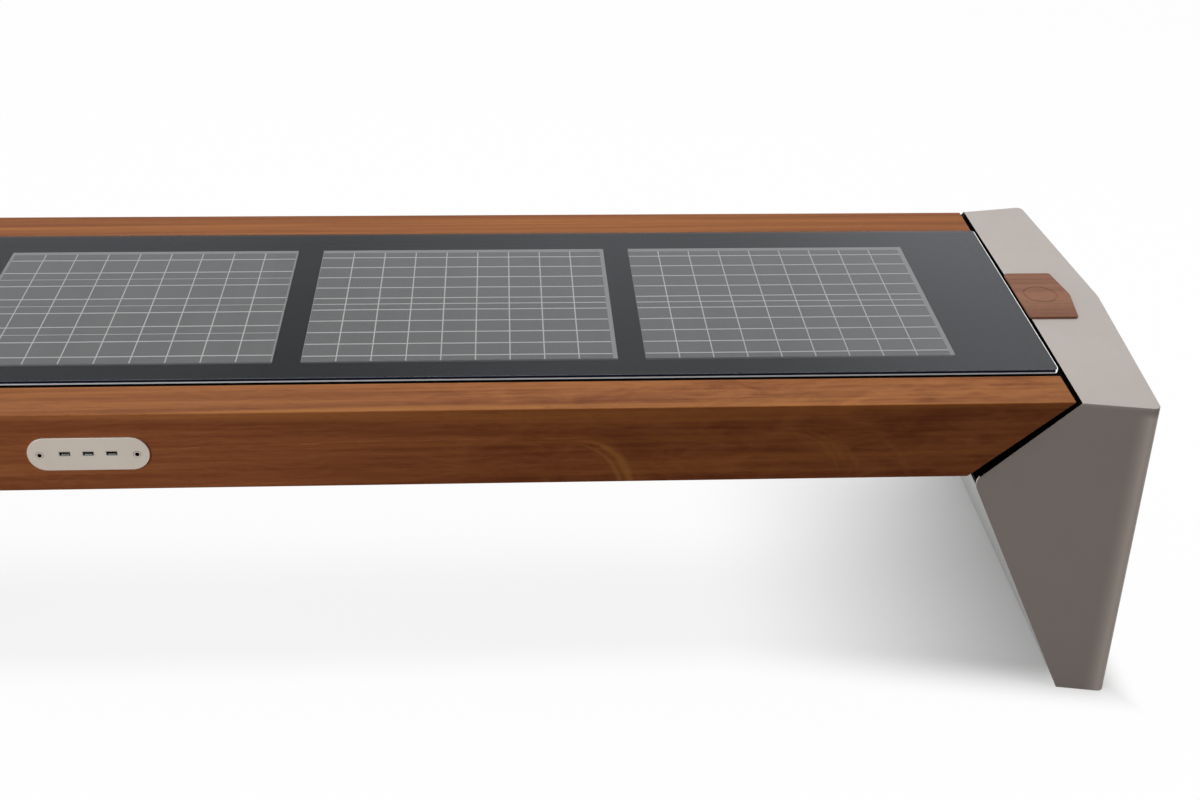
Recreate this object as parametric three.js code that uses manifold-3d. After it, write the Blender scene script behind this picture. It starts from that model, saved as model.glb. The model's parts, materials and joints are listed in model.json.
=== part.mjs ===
// Solar charging bench: hardwood beams and a glazed solar deck between two folded stainless legs.
// Millimetres. X runs along the bench, the front is at -Y, Z is up, and the origin lies
// on the ground under the middle of the bench. Left and right are as seen from the front.

import * as THREE from 'three';
import { mergeVertices } from 'three/addons/utils/BufferGeometryUtils.js';
import Module from 'manifold-3d';

const wasm = await Module();
wasm.setup();

// Shared sizes
const clearance = 0.3;
const overrun = 5;
const weldDistance = 0.0005;
const cornerSteps = 4;

// Overall sizes
const topLength = 1750;
const seatHeight = 450;
const beamSpan = 572;

// Deck: glass, solar panels and their carrier
const glassThickness = 6;
const glassProud = 4;
const glassEndGap = 5.7;
const glassSideGap = 8;
const glassCornerRadius = 7;
const panelEndMargin = 118.7;
const panelFrontMargin = 53.4;
const panelRearMargin = 41.9;
const panelGap = 35.6;
const panelThickness = 3;
const carrierThickness = 3;
const carrierMargin = 16;
const gasketEndPlay = 1.8;
const gasketSink = 3;
const gasketLedge = 14;

// Hardwood beams
const beamThickness = 66;
const beamHeight = 106;
const beamSetBack = 2;
const beamEndGap = 6.5;
const beamMitreRun = 121;
const beamArris = 2;

// Legs of folded sheet
const legWall = 4;
const legTopLength = 94;
const legPoint = 21;
const legFlare = 17;
const legLean = 9;
const legBulge = 2.5;
const legBendRadius = 9;
const legBendSteps = 6;
const legLip = 6;
const legNotchReach = 113;
const legNotchDrop = 123.5;
const legNotchRadius = 14;
const legFootWidth = 63;
const innerPanelThickness = 3;
const innerPanelRecess = 1;
const innerPanelTopGap = 11;
const basePlateThickness = 8;
const anchorHoleRadius = 7;
const anchorFromEdge = 76;
const roundSteps = 16;

// Mitre joint between the frame and each leg
const bracketThickness = 6;
const bracketRecess = 1;
const bracketStart = 12;
const bracketTopReach = 2.5;
const endPlateThickness = 6;
const endPlateStart = 6;
const endPlateTopDrop = 9;
const endPlateInset = 24;
const spacerStart = 34;
const spacerLength = 17;
const spacerDepth = 40;
const boltPlace = 45;
const boltFromEdge = 62;
const boltRadius = 5;
const boltHeadRadius = 9;
const boltHeadHeight = 6.4;
const boltTail = 4;
const hexSides = 6;

// Frame under the deck
const railSize = 40;
const railWall = 3;
const crossSize = 30;
const crossWall = 2.5;

// Electronics pan, hatch and lock
const panThickness = 2;
const panPastNotch = 3;
const panDepthBelowRails = 49;
const panFlange = 18;
const hatchOpeningLength = 360;
const hatchOpeningDepth = 300;
const hatchOverlap = 8;
const hatchThickness = 2;
const ribWidth = 12;
const ribHeight = 3;
const ribInset = 30;
const pinRadius = 2;
const knuckleRadius = 4;
const knuckleLength = 30;
const knucklePlay = 1;
const hingeDrop = 4.5;
const lockHeadRadius = 12;
const lockHeadHeight = 3;
const lockBodyRadius = 9;
const lockFromEdge = 10;
const camWidth = 14;
const camLength = 32;
const camThickness = 3;
const camLift = 1.5;
const keySlotWidth = 2;
const keySlotLength = 10;
const keySlotDepth = 2;
const cableHoleRadius = 8;
const cableHoleOffset = 100;
const cableHoleHeight = 17;

// Electronics
const batteryLength = 181;
const batteryDepth = 167;
const batteryHeight = 77;
const batteryFromCross = 17.5;
const terminalRadius = 7;
const terminalLength = 6;
const terminalSpacing = 90;
const terminalHeight = 42;
const strapWidth = 30;
const strapThickness = 1.5;
const strapFoot = 13;
const controllerLength = 150;
const controllerDepth = 110;
const controllerHeight = 40;
const controllerFromCross = 23.5;
const finCount = 7;
const finDepth = 9;
const finWidth = 5;
const junctionLength = 60;
const junctionDepth = 45;
const junctionHeight = 18;
const junctionAisleShare = 0.4878;
const leadRadius = 3;
const leadSides = 6;
const longLeadSteps = 34;
const shortLeadSteps = 20;
const leadDrop = 35;
const leadHang = 9;
const leadBend = 24;

// Socket plate in the front beam
const socketPlateLength = 144;
const socketPlateHeight = 45.2;
const socketPlateThickness = 2.5;
const socketPlateX = -441;
const socketPlateDrop = 53.5;
const socketSpacing = 27.6;
const socketsAboveMiddle = 1;
const socketWidth = 13.2;
const socketHeight = 5.8;
const socketDepth = 15;
const socketWall = 0.5;
const socketBack = 3;
const tongueWidth = 10.6;
const tongueThickness = 1.8;
const tongueRecess = 1.2;
const housingLength = 100;
const housingHeight = 34;
const housingDepth = 54;
const screwSpacing = 114.6;
const screwsBelowMiddle = 1;
const screwHeadRadius = 4.4;
const screwShankRadius = 2;
const screwHeadDepth = 2;
const screwLength = 18;
const usbLeadDrop = 9.1;

// Charging pads on the legs
const padLength = 65.5;
const padPoint = 9;
const padDepth = 132;
const padProud = 3.5;
const padCornerRadius = 4;
const padPlugMargin = 13;
const coilRadius = 25;
const coilThickness = 8;

// Heights and places that follow from the sizes above
const deckLevel = seatHeight - glassProud;
const glassBottom = seatHeight - glassThickness;
const panelTop = glassBottom - clearance;
const carrierTop = panelTop - panelThickness - clearance;
const carrierBottom = carrierTop - carrierThickness;
const railTop = carrierBottom - clearance;
const railBottom = railTop - railSize;
const panTop = railBottom - clearance;
const panBottom = panTop - panDepthBelowRails;
const panFloor = panBottom + panThickness;
const legInnerX = topLength / 2 - legPoint - legTopLength;
const legCornerX = legInnerX + legTopLength;
const legInnerY = beamSpan / 2;
const flareSlope = legFlare / legTopLength;
const beamFront = beamSpan / 2 - beamSetBack;
const beamInside = beamFront - beamThickness;
const beamBottom = deckLevel - beamHeight;
const beamTopEnd = legInnerX - beamEndGap;
const railOutside = beamInside - clearance;
const railInside = railOutside - railSize;
const glassLength = 2 * (legInnerX - glassEndGap);
const glassDepth = 2 * (beamInside - glassSideGap);
const panelCount = 3;
const panelLength = (glassLength - 2 * panelEndMargin - (panelCount - 1) * panelGap) / panelCount;
const panelPitch = panelLength + panelGap;
const panelFront = -glassDepth / 2 + panelFrontMargin;
const panelRear = glassDepth / 2 - panelRearMargin;
const batteryFromMiddle = (panelPitch + crossSize) / 2 + batteryFromCross;
const controllerFromMiddle = (panelPitch + crossSize) / 2 + controllerFromCross;
const junctionPlay = railInside - batteryDepth / 2 - junctionDepth;
const junctionY = (batteryDepth + junctionDepth) / 2 + junctionAisleShare * junctionPlay;
const endPlateDepth = beamSpan - 2 * endPlateInset;
const boltSpacing = endPlateDepth - 2 * boltFromEdge;
const anchorSpacing = beamSpan - 2 * anchorFromEdge;
const cableHoleZ = panFloor + cableHoleHeight;
const socketPlateZ = deckLevel - socketPlateDrop;
const socketZ = socketPlateZ + socketsAboveMiddle;
const plateScrewZ = socketPlateZ - screwsBelowMiddle;

// Points of the mitre joint, seen from the front: along runs up it from the notch and out
// stands off it towards the middle of the bench.
const notchPoint = new THREE.Vector2(legInnerX - legNotchReach, deckLevel - legNotchDrop);
const mitreTop = new THREE.Vector2(legInnerX, deckLevel - legLip);
const mitreRun = mitreTop.clone().sub(notchPoint);
const mitreLength = mitreRun.length();
const mitreAlong = mitreRun.clone().normalize();
const mitreOut = new THREE.Vector2(-mitreAlong.y, mitreAlong.x);
const panLength = 2 * (notchPoint.x + panPastNotch);

const finishes = {
  wood: new THREE.MeshStandardMaterial({ color: 0x8a5230, roughness: 0.55, metalness: 0 }),
  padWood: new THREE.MeshStandardMaterial({ color: 0x8e6149, roughness: 0.6, metalness: 0 }),
  glass: new THREE.MeshStandardMaterial({ color: 0x4b4d52, roughness: 0.08, metalness: 0 }),
  cells: new THREE.MeshStandardMaterial({ color: 0x737676, roughness: 0.35, metalness: 0.1 }),
  legSteel: new THREE.MeshStandardMaterial({ color: 0xb4aca3, roughness: 0.38, metalness: 0.9 }),
  frameSteel: new THREE.MeshStandardMaterial({ color: 0x1c1c1d, roughness: 0.6, metalness: 0.3 }),
  zincSteel: new THREE.MeshStandardMaterial({ color: 0x9a9c9e, roughness: 0.45, metalness: 0.9 }),
  rubber: new THREE.MeshStandardMaterial({ color: 0x101010, roughness: 0.8, metalness: 0 }),
  plateSteel: new THREE.MeshStandardMaterial({ color: 0xc6beb4, roughness: 0.4, metalness: 0.8 }),
  blackPlastic: new THREE.MeshStandardMaterial({ color: 0x18191a, roughness: 0.5, metalness: 0 }),
  greyPlastic: new THREE.MeshStandardMaterial({ color: 0x54585c, roughness: 0.5, metalness: 0 }),
  casting: new THREE.MeshStandardMaterial({ color: 0x8f9295, roughness: 0.5, metalness: 0.7 }),
};

const bench = new THREE.Group();

// Solids, booleans and outlines

/** Turn a closed geometry into a solid that can be cut and joined. */
function solidFrom(geometry) {
  geometry.deleteAttribute('normal');
  geometry.deleteAttribute('uv');
  const merged = mergeVertices(geometry, weldDistance);
  const vertProperties = new Float32Array(merged.attributes.position.array);
  const triVerts = new Uint32Array(merged.index.array);
  return new wasm.Manifold(new wasm.Mesh({ numProp: 3, vertProperties, triVerts }));
}

/** Turn a solid back into a geometry for a mesh. */
function geometryFrom(solid) {
  const mesh = solid.getMesh();
  const geometry = new THREE.BufferGeometry();
  geometry.setAttribute('position', new THREE.BufferAttribute(new Float32Array(mesh.vertProperties), 3));
  geometry.setIndex(new THREE.BufferAttribute(new Uint32Array(mesh.triVerts), 1));
  geometry.computeVertexNormals();
  return geometry;
}

/** Cut every cutter out of a solid. */
function cut(solid, cutters) {
  return cutters.reduce((rest, cutter) => rest.subtract(cutter), solid);
}

/** Join solids into one. */
function join(solids) {
  return solids.reduce((whole, solid) => whole.add(solid));
}

/** A block between two corners, given as pairs of limits along X, Y and Z. */
function block([x0, x1], [y0, y1], [z0, z1]) {
  const geometry = new THREE.BoxGeometry(x1 - x0, y1 - y0, z1 - z0);
  geometry.translate((x0 + x1) / 2, (y0 + y1) / 2, (z0 + z1) / 2);
  return solidFrom(geometry);
}

/** An outline whose corners are [u, v] or [u, v, radius]. */
function outline(corners, steps = cornerSteps) {
  const points = [];
  const count = corners.length;
  corners.forEach(([u, v, radius = 0], i) => {
    const corner = new THREE.Vector2(u, v);
    if (radius === 0) {
      points.push(corner);
      return;
    }
    const [beforeU, beforeV] = corners[(i + count - 1) % count];
    const [afterU, afterV] = corners[(i + 1) % count];
    const toBefore = new THREE.Vector2(beforeU - u, beforeV - v).normalize();
    const toAfter = new THREE.Vector2(afterU - u, afterV - v).normalize();
    const halfAngle = Math.acos(toBefore.dot(toAfter)) / 2;
    const bisector = toBefore.clone().add(toAfter).normalize();
    const centre = corner.clone().addScaledVector(bisector, radius / Math.sin(halfAngle));
    const reach = radius / Math.tan(halfAngle);
    const start = corner.clone().addScaledVector(toBefore, reach).sub(centre);
    const end = corner.clone().addScaledVector(toAfter, reach).sub(centre);
    const sweep = Math.atan2(start.cross(end), start.dot(end));
    for (let step = 0; step <= steps; step += 1) {
      points.push(start.clone().rotateAround(new THREE.Vector2(), sweep * step / steps).add(centre));
    }
  });
  return new THREE.Shape(points);
}

/** A rectangle outline between two limits each way, with equal corner radii. */
function rectangle([u0, u1], [v0, v1], radius = 0, steps = cornerSteps) {
  return outline([[u0, v0, radius], [u1, v0, radius], [u1, v1, radius], [u0, v1, radius]], steps);
}

/** Raise a plan outline (x, y) between two heights. */
function raise(shape, [z0, z1]) {
  const geometry = new THREE.ExtrudeGeometry(shape, { depth: z1 - z0, bevelEnabled: false });
  geometry.translate(0, 0, z0);
  return geometry;
}

/** Push a front outline (x, z) through from the rear limit of Y to the front one. */
function pushThrough(shape, [y0, y1]) {
  const geometry = new THREE.ExtrudeGeometry(shape, { depth: y1 - y0, bevelEnabled: false });
  geometry.rotateX(Math.PI / 2);
  geometry.translate(0, y1, 0);
  return geometry;
}

/** Run an end outline (y, z) along X between two limits. */
function runAlong(shape, [x0, x1]) {
  const geometry = new THREE.ExtrudeGeometry(shape, { depth: x1 - x0, bevelEnabled: false });
  const turn = new THREE.Matrix4().makeBasis(
    new THREE.Vector3(0, 1, 0),
    new THREE.Vector3(0, 0, 1),
    new THREE.Vector3(1, 0, 0),
  );
  geometry.applyMatrix4(turn);
  geometry.translate(x0, 0, 0);
  return geometry;
}

/** A round bar from one point to another. */
function bar(radius, from, to, sides = roundSteps) {
  const run = to.clone().sub(from);
  const geometry = new THREE.CylinderGeometry(radius, radius, run.length(), sides);
  geometry.applyQuaternion(new THREE.Quaternion().setFromUnitVectors(
    new THREE.Vector3(0, 1, 0),
    run.clone().normalize(),
  ));
  const middle = from.clone().add(to).divideScalar(2);
  geometry.translate(middle.x, middle.y, middle.z);
  return solidFrom(geometry);
}

/** The same geometry on the other side of the bench. */
function mirrored(geometry) {
  const copy = geometry.clone();
  copy.scale(-1, 1, 1);
  const order = copy.index.array;
  for (let i = 0; i < order.length; i += 3) {
    [order[i + 1], order[i + 2]] = [order[i + 2], order[i + 1]];
  }
  copy.computeVertexNormals();
  return copy;
}

/** Add one named piece to the bench. */
function addPiece(name, geometry, material) {
  const mesh = new THREE.Mesh(geometry, material);
  mesh.name = name;
  bench.add(mesh);
}

/** Add a piece made for the right end, and its mirror image for the left end. */
function addPair(name, geometry, material) {
  addPiece(`${name}_right`, geometry, material);
  addPiece(`${name}_left`, mirrored(geometry), material);
}

// Mitre joint

/** A point of the mitre joint: along it from the notch, and out from it towards the middle. */
function mitrePoint(along, out) {
  return notchPoint.clone().addScaledVector(mitreAlong, along).addScaledVector(mitreOut, out);
}

/** The same point as a place in space, at a depth Y. */
function mitrePlace(along, out, y) {
  const point = mitrePoint(along, out);
  return new THREE.Vector3(point.x, y, point.y);
}

/** A slab parallel to the mitre joint, as solid. */
function mitreSlab([along0, along1], [out0, out1], depths) {
  const corners = [[along0, out0], [along1, out0], [along1, out1], [along0, out1]];
  const points = corners.map(([along, out]) => mitrePoint(along, out).toArray());
  return solidFrom(pushThrough(outline(points), depths));
}

/** How far out from the mitre joint the slanted end of the beams lies, at a place along it. */
function beamEndOut(along) {
  const start = mitrePoint(along, 0);
  const slope = beamMitreRun / beamHeight;
  const behind = (beamTopEnd - start.x) - slope * (deckLevel - start.y);
  return behind / (mitreOut.x - slope * mitreOut.y);
}

// Legs

/** Move each edge of a convex outline inwards by its own distance. */
function insetEdges(points, insets) {
  const lines = points.map(([u, v], i) => {
    const [nextU, nextV] = points[(i + 1) % points.length];
    const along = new THREE.Vector2(nextU - u, nextV - v).normalize();
    const inwards = new THREE.Vector2(-along.y, along.x);
    return { from: new THREE.Vector2(u, v).addScaledVector(inwards, insets[i]), along };
  });
  return lines.map((line, i) => {
    const previous = lines[(i + lines.length - 1) % lines.length];
    const across = line.from.clone().sub(previous.from);
    const reach = across.cross(line.along) / previous.along.cross(line.along);
    return previous.from.clone().addScaledVector(previous.along, reach).toArray();
  });
}

/** Lean the outer walls of a leg outwards towards the foot, keeping its front and back upright. */
function leanOutwards(geometry) {
  const place = geometry.attributes.position;
  for (let i = 0; i < place.count; i += 1) {
    const lean = legLean * (deckLevel - place.getZ(i)) / deckLevel;
    const y = place.getY(i);
    const side = Math.abs(y) < clearance ? 0 : Math.sign(y);
    place.setX(i, place.getX(i) + lean);
    place.setY(i, y + side * flareSlope * lean);
  }
  return geometry;
}

/** The body of a leg between two heights, drawn in by an inset, and open-ended towards the middle. */
function legBody(inset, heights) {
  const innerReach = legNotchReach + legLean + overrun;
  const innerY = legInnerY - flareSlope * innerReach;
  const cornerY = legInnerY + legFlare;
  const plan = insetEdges(
    [
      [legInnerX - innerReach, -innerY],
      [legCornerX, -cornerY],
      [topLength / 2, 0],
      [legCornerX, cornerY],
      [legInnerX - innerReach, innerY],
    ],
    [inset, inset, inset, inset, inset > 0 ? -inset : 0],
  );
  plan[1].push(legBendRadius - inset);
  plan[2][1] = 0;
  plan[3].push(legBendRadius - inset);
  return solidFrom(leanOutwards(raise(outline(plan, legBendSteps), heights)));
}

/** The way down a leg's sloping inner edge, seen from the front. */
function legSlope() {
  return new THREE.Vector2(legFootInnerX(), 0).sub(notchPoint).normalize();
}

/** The X of the inner corner of a leg's foot. */
function legFootInnerX() {
  return legCornerX + legLean - legFootWidth;
}

/** A leg's front outline pushed through its whole depth. */
function legProfile() {
  const far = topLength / 2 + legLean + overrun;
  const shape = outline([
    [legInnerX, deckLevel],
    [legInnerX, deckLevel - legLip],
    [notchPoint.x, notchPoint.y, legNotchRadius],
    [legFootInnerX(), 0],
    [far, 0],
    [far, deckLevel],
  ]);
  const halfDepth = legInnerY + legFlare + overrun;
  return solidFrom(pushThrough(shape, [-halfDepth, halfDepth]));
}

/** The folded sheet shell of a leg: top, front, back and a pointed outer side. */
function legShell() {
  const hollow = legBody(legWall, [-overrun, deckLevel - legWall]);
  const throughTop = [deckLevel - legWall - overrun, deckLevel + overrun];
  const edgeY = legInnerY - legWall;
  const bulge = outline([
    [legInnerX - overrun, -edgeY],
    [legInnerX, -edgeY],
    [legInnerX + legBulge, 0],
    [legInnerX, edgeY],
    [legInnerX - overrun, edgeY],
  ]);
  const padHole = raise(padPlugOutline(clearance), throughTop);
  const whole = legBody(0, [0, deckLevel]).intersect(legProfile());
  return geometryFrom(cut(whole, [hollow, solidFrom(raise(bulge, throughTop)), solidFrom(padHole)]));
}

/** The sheet that closes the leg's sloping inner side, from the notch to the ground. */
function legInnerPanel() {
  const slope = legSlope();
  const inwards = new THREE.Vector2(-slope.y, slope.x);
  const near = innerPanelRecess;
  const far = innerPanelRecess + innerPanelThickness;
  const top = notchPoint.clone().addScaledVector(slope, innerPanelTopGap);
  const foot = new THREE.Vector2(legFootInnerX(), 0).addScaledVector(slope, overrun);
  const corners = [
    top.clone().addScaledVector(inwards, near),
    foot.clone().addScaledVector(inwards, near),
    foot.clone().addScaledVector(inwards, far),
    top.clone().addScaledVector(inwards, far),
  ].map((point) => point.toArray());
  const halfDepth = legInnerY + legFlare;
  const slab = solidFrom(pushThrough(outline(corners), [-halfDepth, halfDepth]));
  return geometryFrom(slab.intersect(legBody(legWall + clearance, [clearance, deckLevel - legWall])));
}

/** The plate inside the foot that takes the ground anchors. */
function legBasePlate() {
  const inside = legBody(legWall + clearance, [0, basePlateThickness]);
  const panelReach = (innerPanelRecess + innerPanelThickness) / -legSlope().y;
  const innerEdge = legFootInnerX() + panelReach + clearance;
  const keep = block(
    [innerEdge, topLength],
    [-beamSpan, beamSpan],
    [-overrun, basePlateThickness + overrun],
  );
  const holeX = legCornerX + legLean - legFootWidth / 2 + legWall;
  const holes = [-1, 1].map((side) => bar(
    anchorHoleRadius,
    new THREE.Vector3(holeX, side * anchorSpacing / 2, -overrun),
    new THREE.Vector3(holeX, side * anchorSpacing / 2, basePlateThickness + overrun),
  ));
  return geometryFrom(cut(inside.intersect(keep), holes));
}

/** A hole along X for the cable that runs from the pan into a leg. */
function cableHole([x0, x1]) {
  return bar(
    cableHoleRadius,
    new THREE.Vector3(x0, -cableHoleOffset, cableHoleZ),
    new THREE.Vector3(x1, -cableHoleOffset, cableHoleZ),
  );
}

/** Holes for the frame bolts, square to the mitre joint. */
function boltHoles() {
  return [-1, 1].map((side) => bar(
    boltRadius + clearance,
    mitrePlace(boltPlace, -bracketThickness - overrun, side * boltSpacing / 2),
    mitrePlace(boltPlace, endPlateThickness + overrun, side * boltSpacing / 2),
  ));
}

/** The plate inside the leg that carries the frame. */
function legBracket() {
  const halfDepth = legInnerY + legFlare;
  const slab = mitreSlab(
    [bracketStart, mitreLength + bracketTopReach],
    [-bracketRecess - bracketThickness, -bracketRecess],
    [-halfDepth, halfDepth],
  );
  const fitted = slab.intersect(legBody(legWall + clearance, [0, deckLevel - legWall - clearance]));
  return geometryFrom(cut(fitted, [...boltHoles(), cableHole([notchPoint.x, legCornerX])]));
}

/** The plate welded across the end of the frame, which the leg's bracket meets. */
function frameEndPlate() {
  const back = -bracketRecess + clearance;
  const slab = mitreSlab(
    [endPlateStart, mitreLength - endPlateTopDrop],
    [back, back + endPlateThickness],
    [-endPlateDepth / 2, endPlateDepth / 2],
  );
  return geometryFrom(cut(slab, [...boltHoles(), cableHole([notchPoint.x - overrun, legCornerX])]));
}

/** A bolt with its nut, square to the mitre joint, on the front or the rear side. */
function frameBolt(side) {
  const y = side * boltSpacing / 2;
  const plateOut = -bracketRecess + clearance + endPlateThickness + clearance;
  const bracketIn = -bracketRecess - bracketThickness - clearance;
  const headEnd = plateOut + boltHeadHeight;
  const nutEnd = bracketIn - boltHeadHeight;
  return geometryFrom(join([
    bar(boltRadius, mitrePlace(boltPlace, nutEnd - boltTail, y), mitrePlace(boltPlace, headEnd, y)),
    bar(boltHeadRadius, mitrePlace(boltPlace, plateOut, y), mitrePlace(boltPlace, headEnd, y), hexSides),
    bar(boltHeadRadius, mitrePlace(boltPlace, nutEnd, y), mitrePlace(boltPlace, bracketIn, y), hexSides),
  ]));
}

/** The wedge that fills the gap between the end plate and a beam's slanted end. */
function beamSpacer(side) {
  const plateOut = -bracketRecess + clearance + endPlateThickness + clearance;
  const start = spacerStart;
  const end = spacerStart + spacerLength;
  const corners = [
    mitrePoint(start, plateOut),
    mitrePoint(end, plateOut),
    mitrePoint(end, beamEndOut(end) - clearance),
    mitrePoint(start, beamEndOut(start) - clearance),
  ].map((point) => point.toArray());
  const outer = side * endPlateDepth / 2;
  const inner = outer - side * spacerDepth;
  return geometryFrom(solidFrom(pushThrough(
    outline(corners),
    [Math.min(outer, inner), Math.max(outer, inner)],
  )));
}

// Beams and frame

/** A hardwood beam for the front (side -1) or the rear (side 1), mitred at both ends. */
function beam(side) {
  const outer = side * beamFront;
  const inner = side * beamInside;
  const section = outline([
    [Math.min(outer, inner), beamBottom, beamArris],
    [Math.max(outer, inner), beamBottom, beamArris],
    [Math.max(outer, inner), deckLevel, beamArris],
    [Math.min(outer, inner), deckLevel, beamArris],
  ], cornerSteps / 2);
  const lowEnd = beamTopEnd - beamMitreRun;
  const mitres = outline([
    [-beamTopEnd, deckLevel],
    [-lowEnd, beamBottom],
    [lowEnd, beamBottom],
    [beamTopEnd, deckLevel],
  ]);
  const squareEnded = solidFrom(runAlong(section, [-beamTopEnd, beamTopEnd]));
  return squareEnded.intersect(solidFrom(pushThrough(mitres, [-beamSpan, beamSpan])));
}

/** The front beam, with the pocket and pilot holes of the socket plate. */
function frontBeam() {
  const pocket = block(
    [socketPlateX - housingLength / 2 - clearance, socketPlateX + housingLength / 2 + clearance],
    [-beamFront - overrun, -beamInside + overrun],
    [socketPlateZ - housingHeight / 2 - clearance, socketPlateZ + housingHeight / 2 + clearance],
  );
  const pilots = [-1, 1].map((side) => bar(
    screwShankRadius + clearance,
    new THREE.Vector3(socketPlateX + side * screwSpacing / 2, -beamFront - overrun, plateScrewZ),
    new THREE.Vector3(socketPlateX + side * screwSpacing / 2, -beamFront + screwLength, plateScrewZ),
  ));
  return geometryFrom(cut(beam(-1), [pocket, ...pilots]));
}

/** A square tube rail with mitred ends, on the front (side -1) or the rear (side 1). */
function frameRail(side) {
  const out = -bracketRecess + 2 * clearance + endPlateThickness;
  const slopeX = mitreAlong.x / mitreAlong.y;
  const foot = mitrePoint(0, out);
  const topEnd = foot.x + slopeX * (railTop - foot.y);
  const lowEnd = foot.x + slopeX * (railBottom - foot.y);
  const shape = outline([
    [-topEnd, railTop],
    [-lowEnd, railBottom],
    [lowEnd, railBottom],
    [topEnd, railTop],
  ]);
  const depths = side < 0 ? [-railOutside, -railInside] : [railInside, railOutside];
  const bore = block(
    [-topLength / 2, topLength / 2],
    [depths[0] + railWall, depths[1] - railWall],
    [railBottom + railWall, railTop - railWall],
  );
  return geometryFrom(cut(solidFrom(pushThrough(shape, depths)), [bore]));
}

/** A square tube between the rails at a place along the bench. */
function crossMember(x) {
  const depth = railInside - clearance;
  const tube = block([x - crossSize / 2, x + crossSize / 2], [-depth, depth], [railTop - crossSize, railTop]);
  const bore = block(
    [x - crossSize / 2 + crossWall, x + crossSize / 2 - crossWall],
    [-beamSpan, beamSpan],
    [railTop - crossSize + crossWall, railTop - crossWall],
  );
  return geometryFrom(cut(tube, [bore]));
}

// Deck

/** The toughened cover glass. */
function glassTop() {
  const shape = rectangle(
    [-glassLength / 2, glassLength / 2],
    [-glassDepth / 2, glassDepth / 2],
    glassCornerRadius,
  );
  return geometryFrom(solidFrom(raise(shape, [glassBottom, seatHeight])));
}

/** The rubber frame that the glass is bedded in, with a ledge under its edge. */
function glassGasket() {
  const insideX = glassLength / 2 + clearance;
  const insideY = glassDepth / 2 + clearance;
  const gasketBottom = railTop + clearance;
  const outer = rectangle(
    [-legInnerX + gasketEndPlay, legInnerX - gasketEndPlay],
    [-beamInside + clearance, beamInside - clearance],
  );
  const bed = raise(
    rectangle([-insideX, insideX], [-insideY, insideY], glassCornerRadius),
    [glassBottom - clearance, seatHeight],
  );
  const hollow = block(
    [-insideX + gasketLedge, insideX - gasketLedge],
    [-insideY + gasketLedge, insideY - gasketLedge],
    [0, seatHeight],
  );
  const slopeX = mitreAlong.x / mitreAlong.y;
  const body = solidFrom(raise(outer, [gasketBottom, deckLevel - gasketSink]));
  const limit = mitrePoint(0, clearance);
  const underLeg = outline([
    [-limit.x - slopeX * (deckLevel - limit.y), deckLevel],
    [-limit.x - slopeX * (railBottom - limit.y), railBottom],
    [limit.x + slopeX * (railBottom - limit.y), railBottom],
    [limit.x + slopeX * (deckLevel - limit.y), deckLevel],
  ]);
  const trimmed = body.intersect(solidFrom(pushThrough(underLeg, [-beamSpan, beamSpan])));
  return geometryFrom(cut(trimmed, [solidFrom(bed), hollow]));
}

/** One laminated solar panel, by its number from the left, counted from -1. */
function solarPanel(number) {
  const x = number * panelPitch;
  return geometryFrom(block(
    [x - panelLength / 2, x + panelLength / 2],
    [panelFront, panelRear],
    [panelTop - panelThickness, panelTop],
  ));
}

/** The board that carries the solar panels on the rails. */
function panelCarrier() {
  const halfLength = glassLength / 2 - carrierMargin;
  const halfDepth = glassDepth / 2 - carrierMargin;
  return geometryFrom(block(
    [-halfLength, halfLength],
    [-halfDepth, halfDepth],
    [carrierBottom, carrierTop],
  ));
}

// Electronics pan and its hatch

const hingeY = hatchOpeningDepth / 2 + hatchOverlap + pinRadius;
const hingeZ = panBottom - hingeDrop;
const hatchTop = panBottom - clearance;
const lockY = -hatchOpeningDepth / 2 + lockFromEdge;
const hingePoints = [-1, 1].map((side) => side * hatchOpeningLength / 4);

/** A hinge knuckle with its pin hole, from one X to another. */
function knuckle([x0, x1]) {
  return bar(
    knuckleRadius,
    new THREE.Vector3(x0, hingeY, hingeZ),
    new THREE.Vector3(x1, hingeY, hingeZ),
  );
}

/** The hole for the hinge pin. */
function pinHole() {
  return bar(
    pinRadius + clearance,
    new THREE.Vector3(-hatchOpeningLength, hingeY, hingeZ),
    new THREE.Vector3(hatchOpeningLength, hingeY, hingeZ),
  );
}

/** The stretches of X that the pan's hinge knuckles take up, grown by a margin. */
function panKnuckleLimits(margin) {
  return hingePoints.flatMap((x) => [-1, 1].map((side) => {
    const near = x + side * (knuckleLength / 2 + knucklePlay - margin);
    const far = x + side * (knuckleLength + knucklePlay + margin);
    return [Math.min(near, far), Math.max(near, far)];
  }));
}

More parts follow.
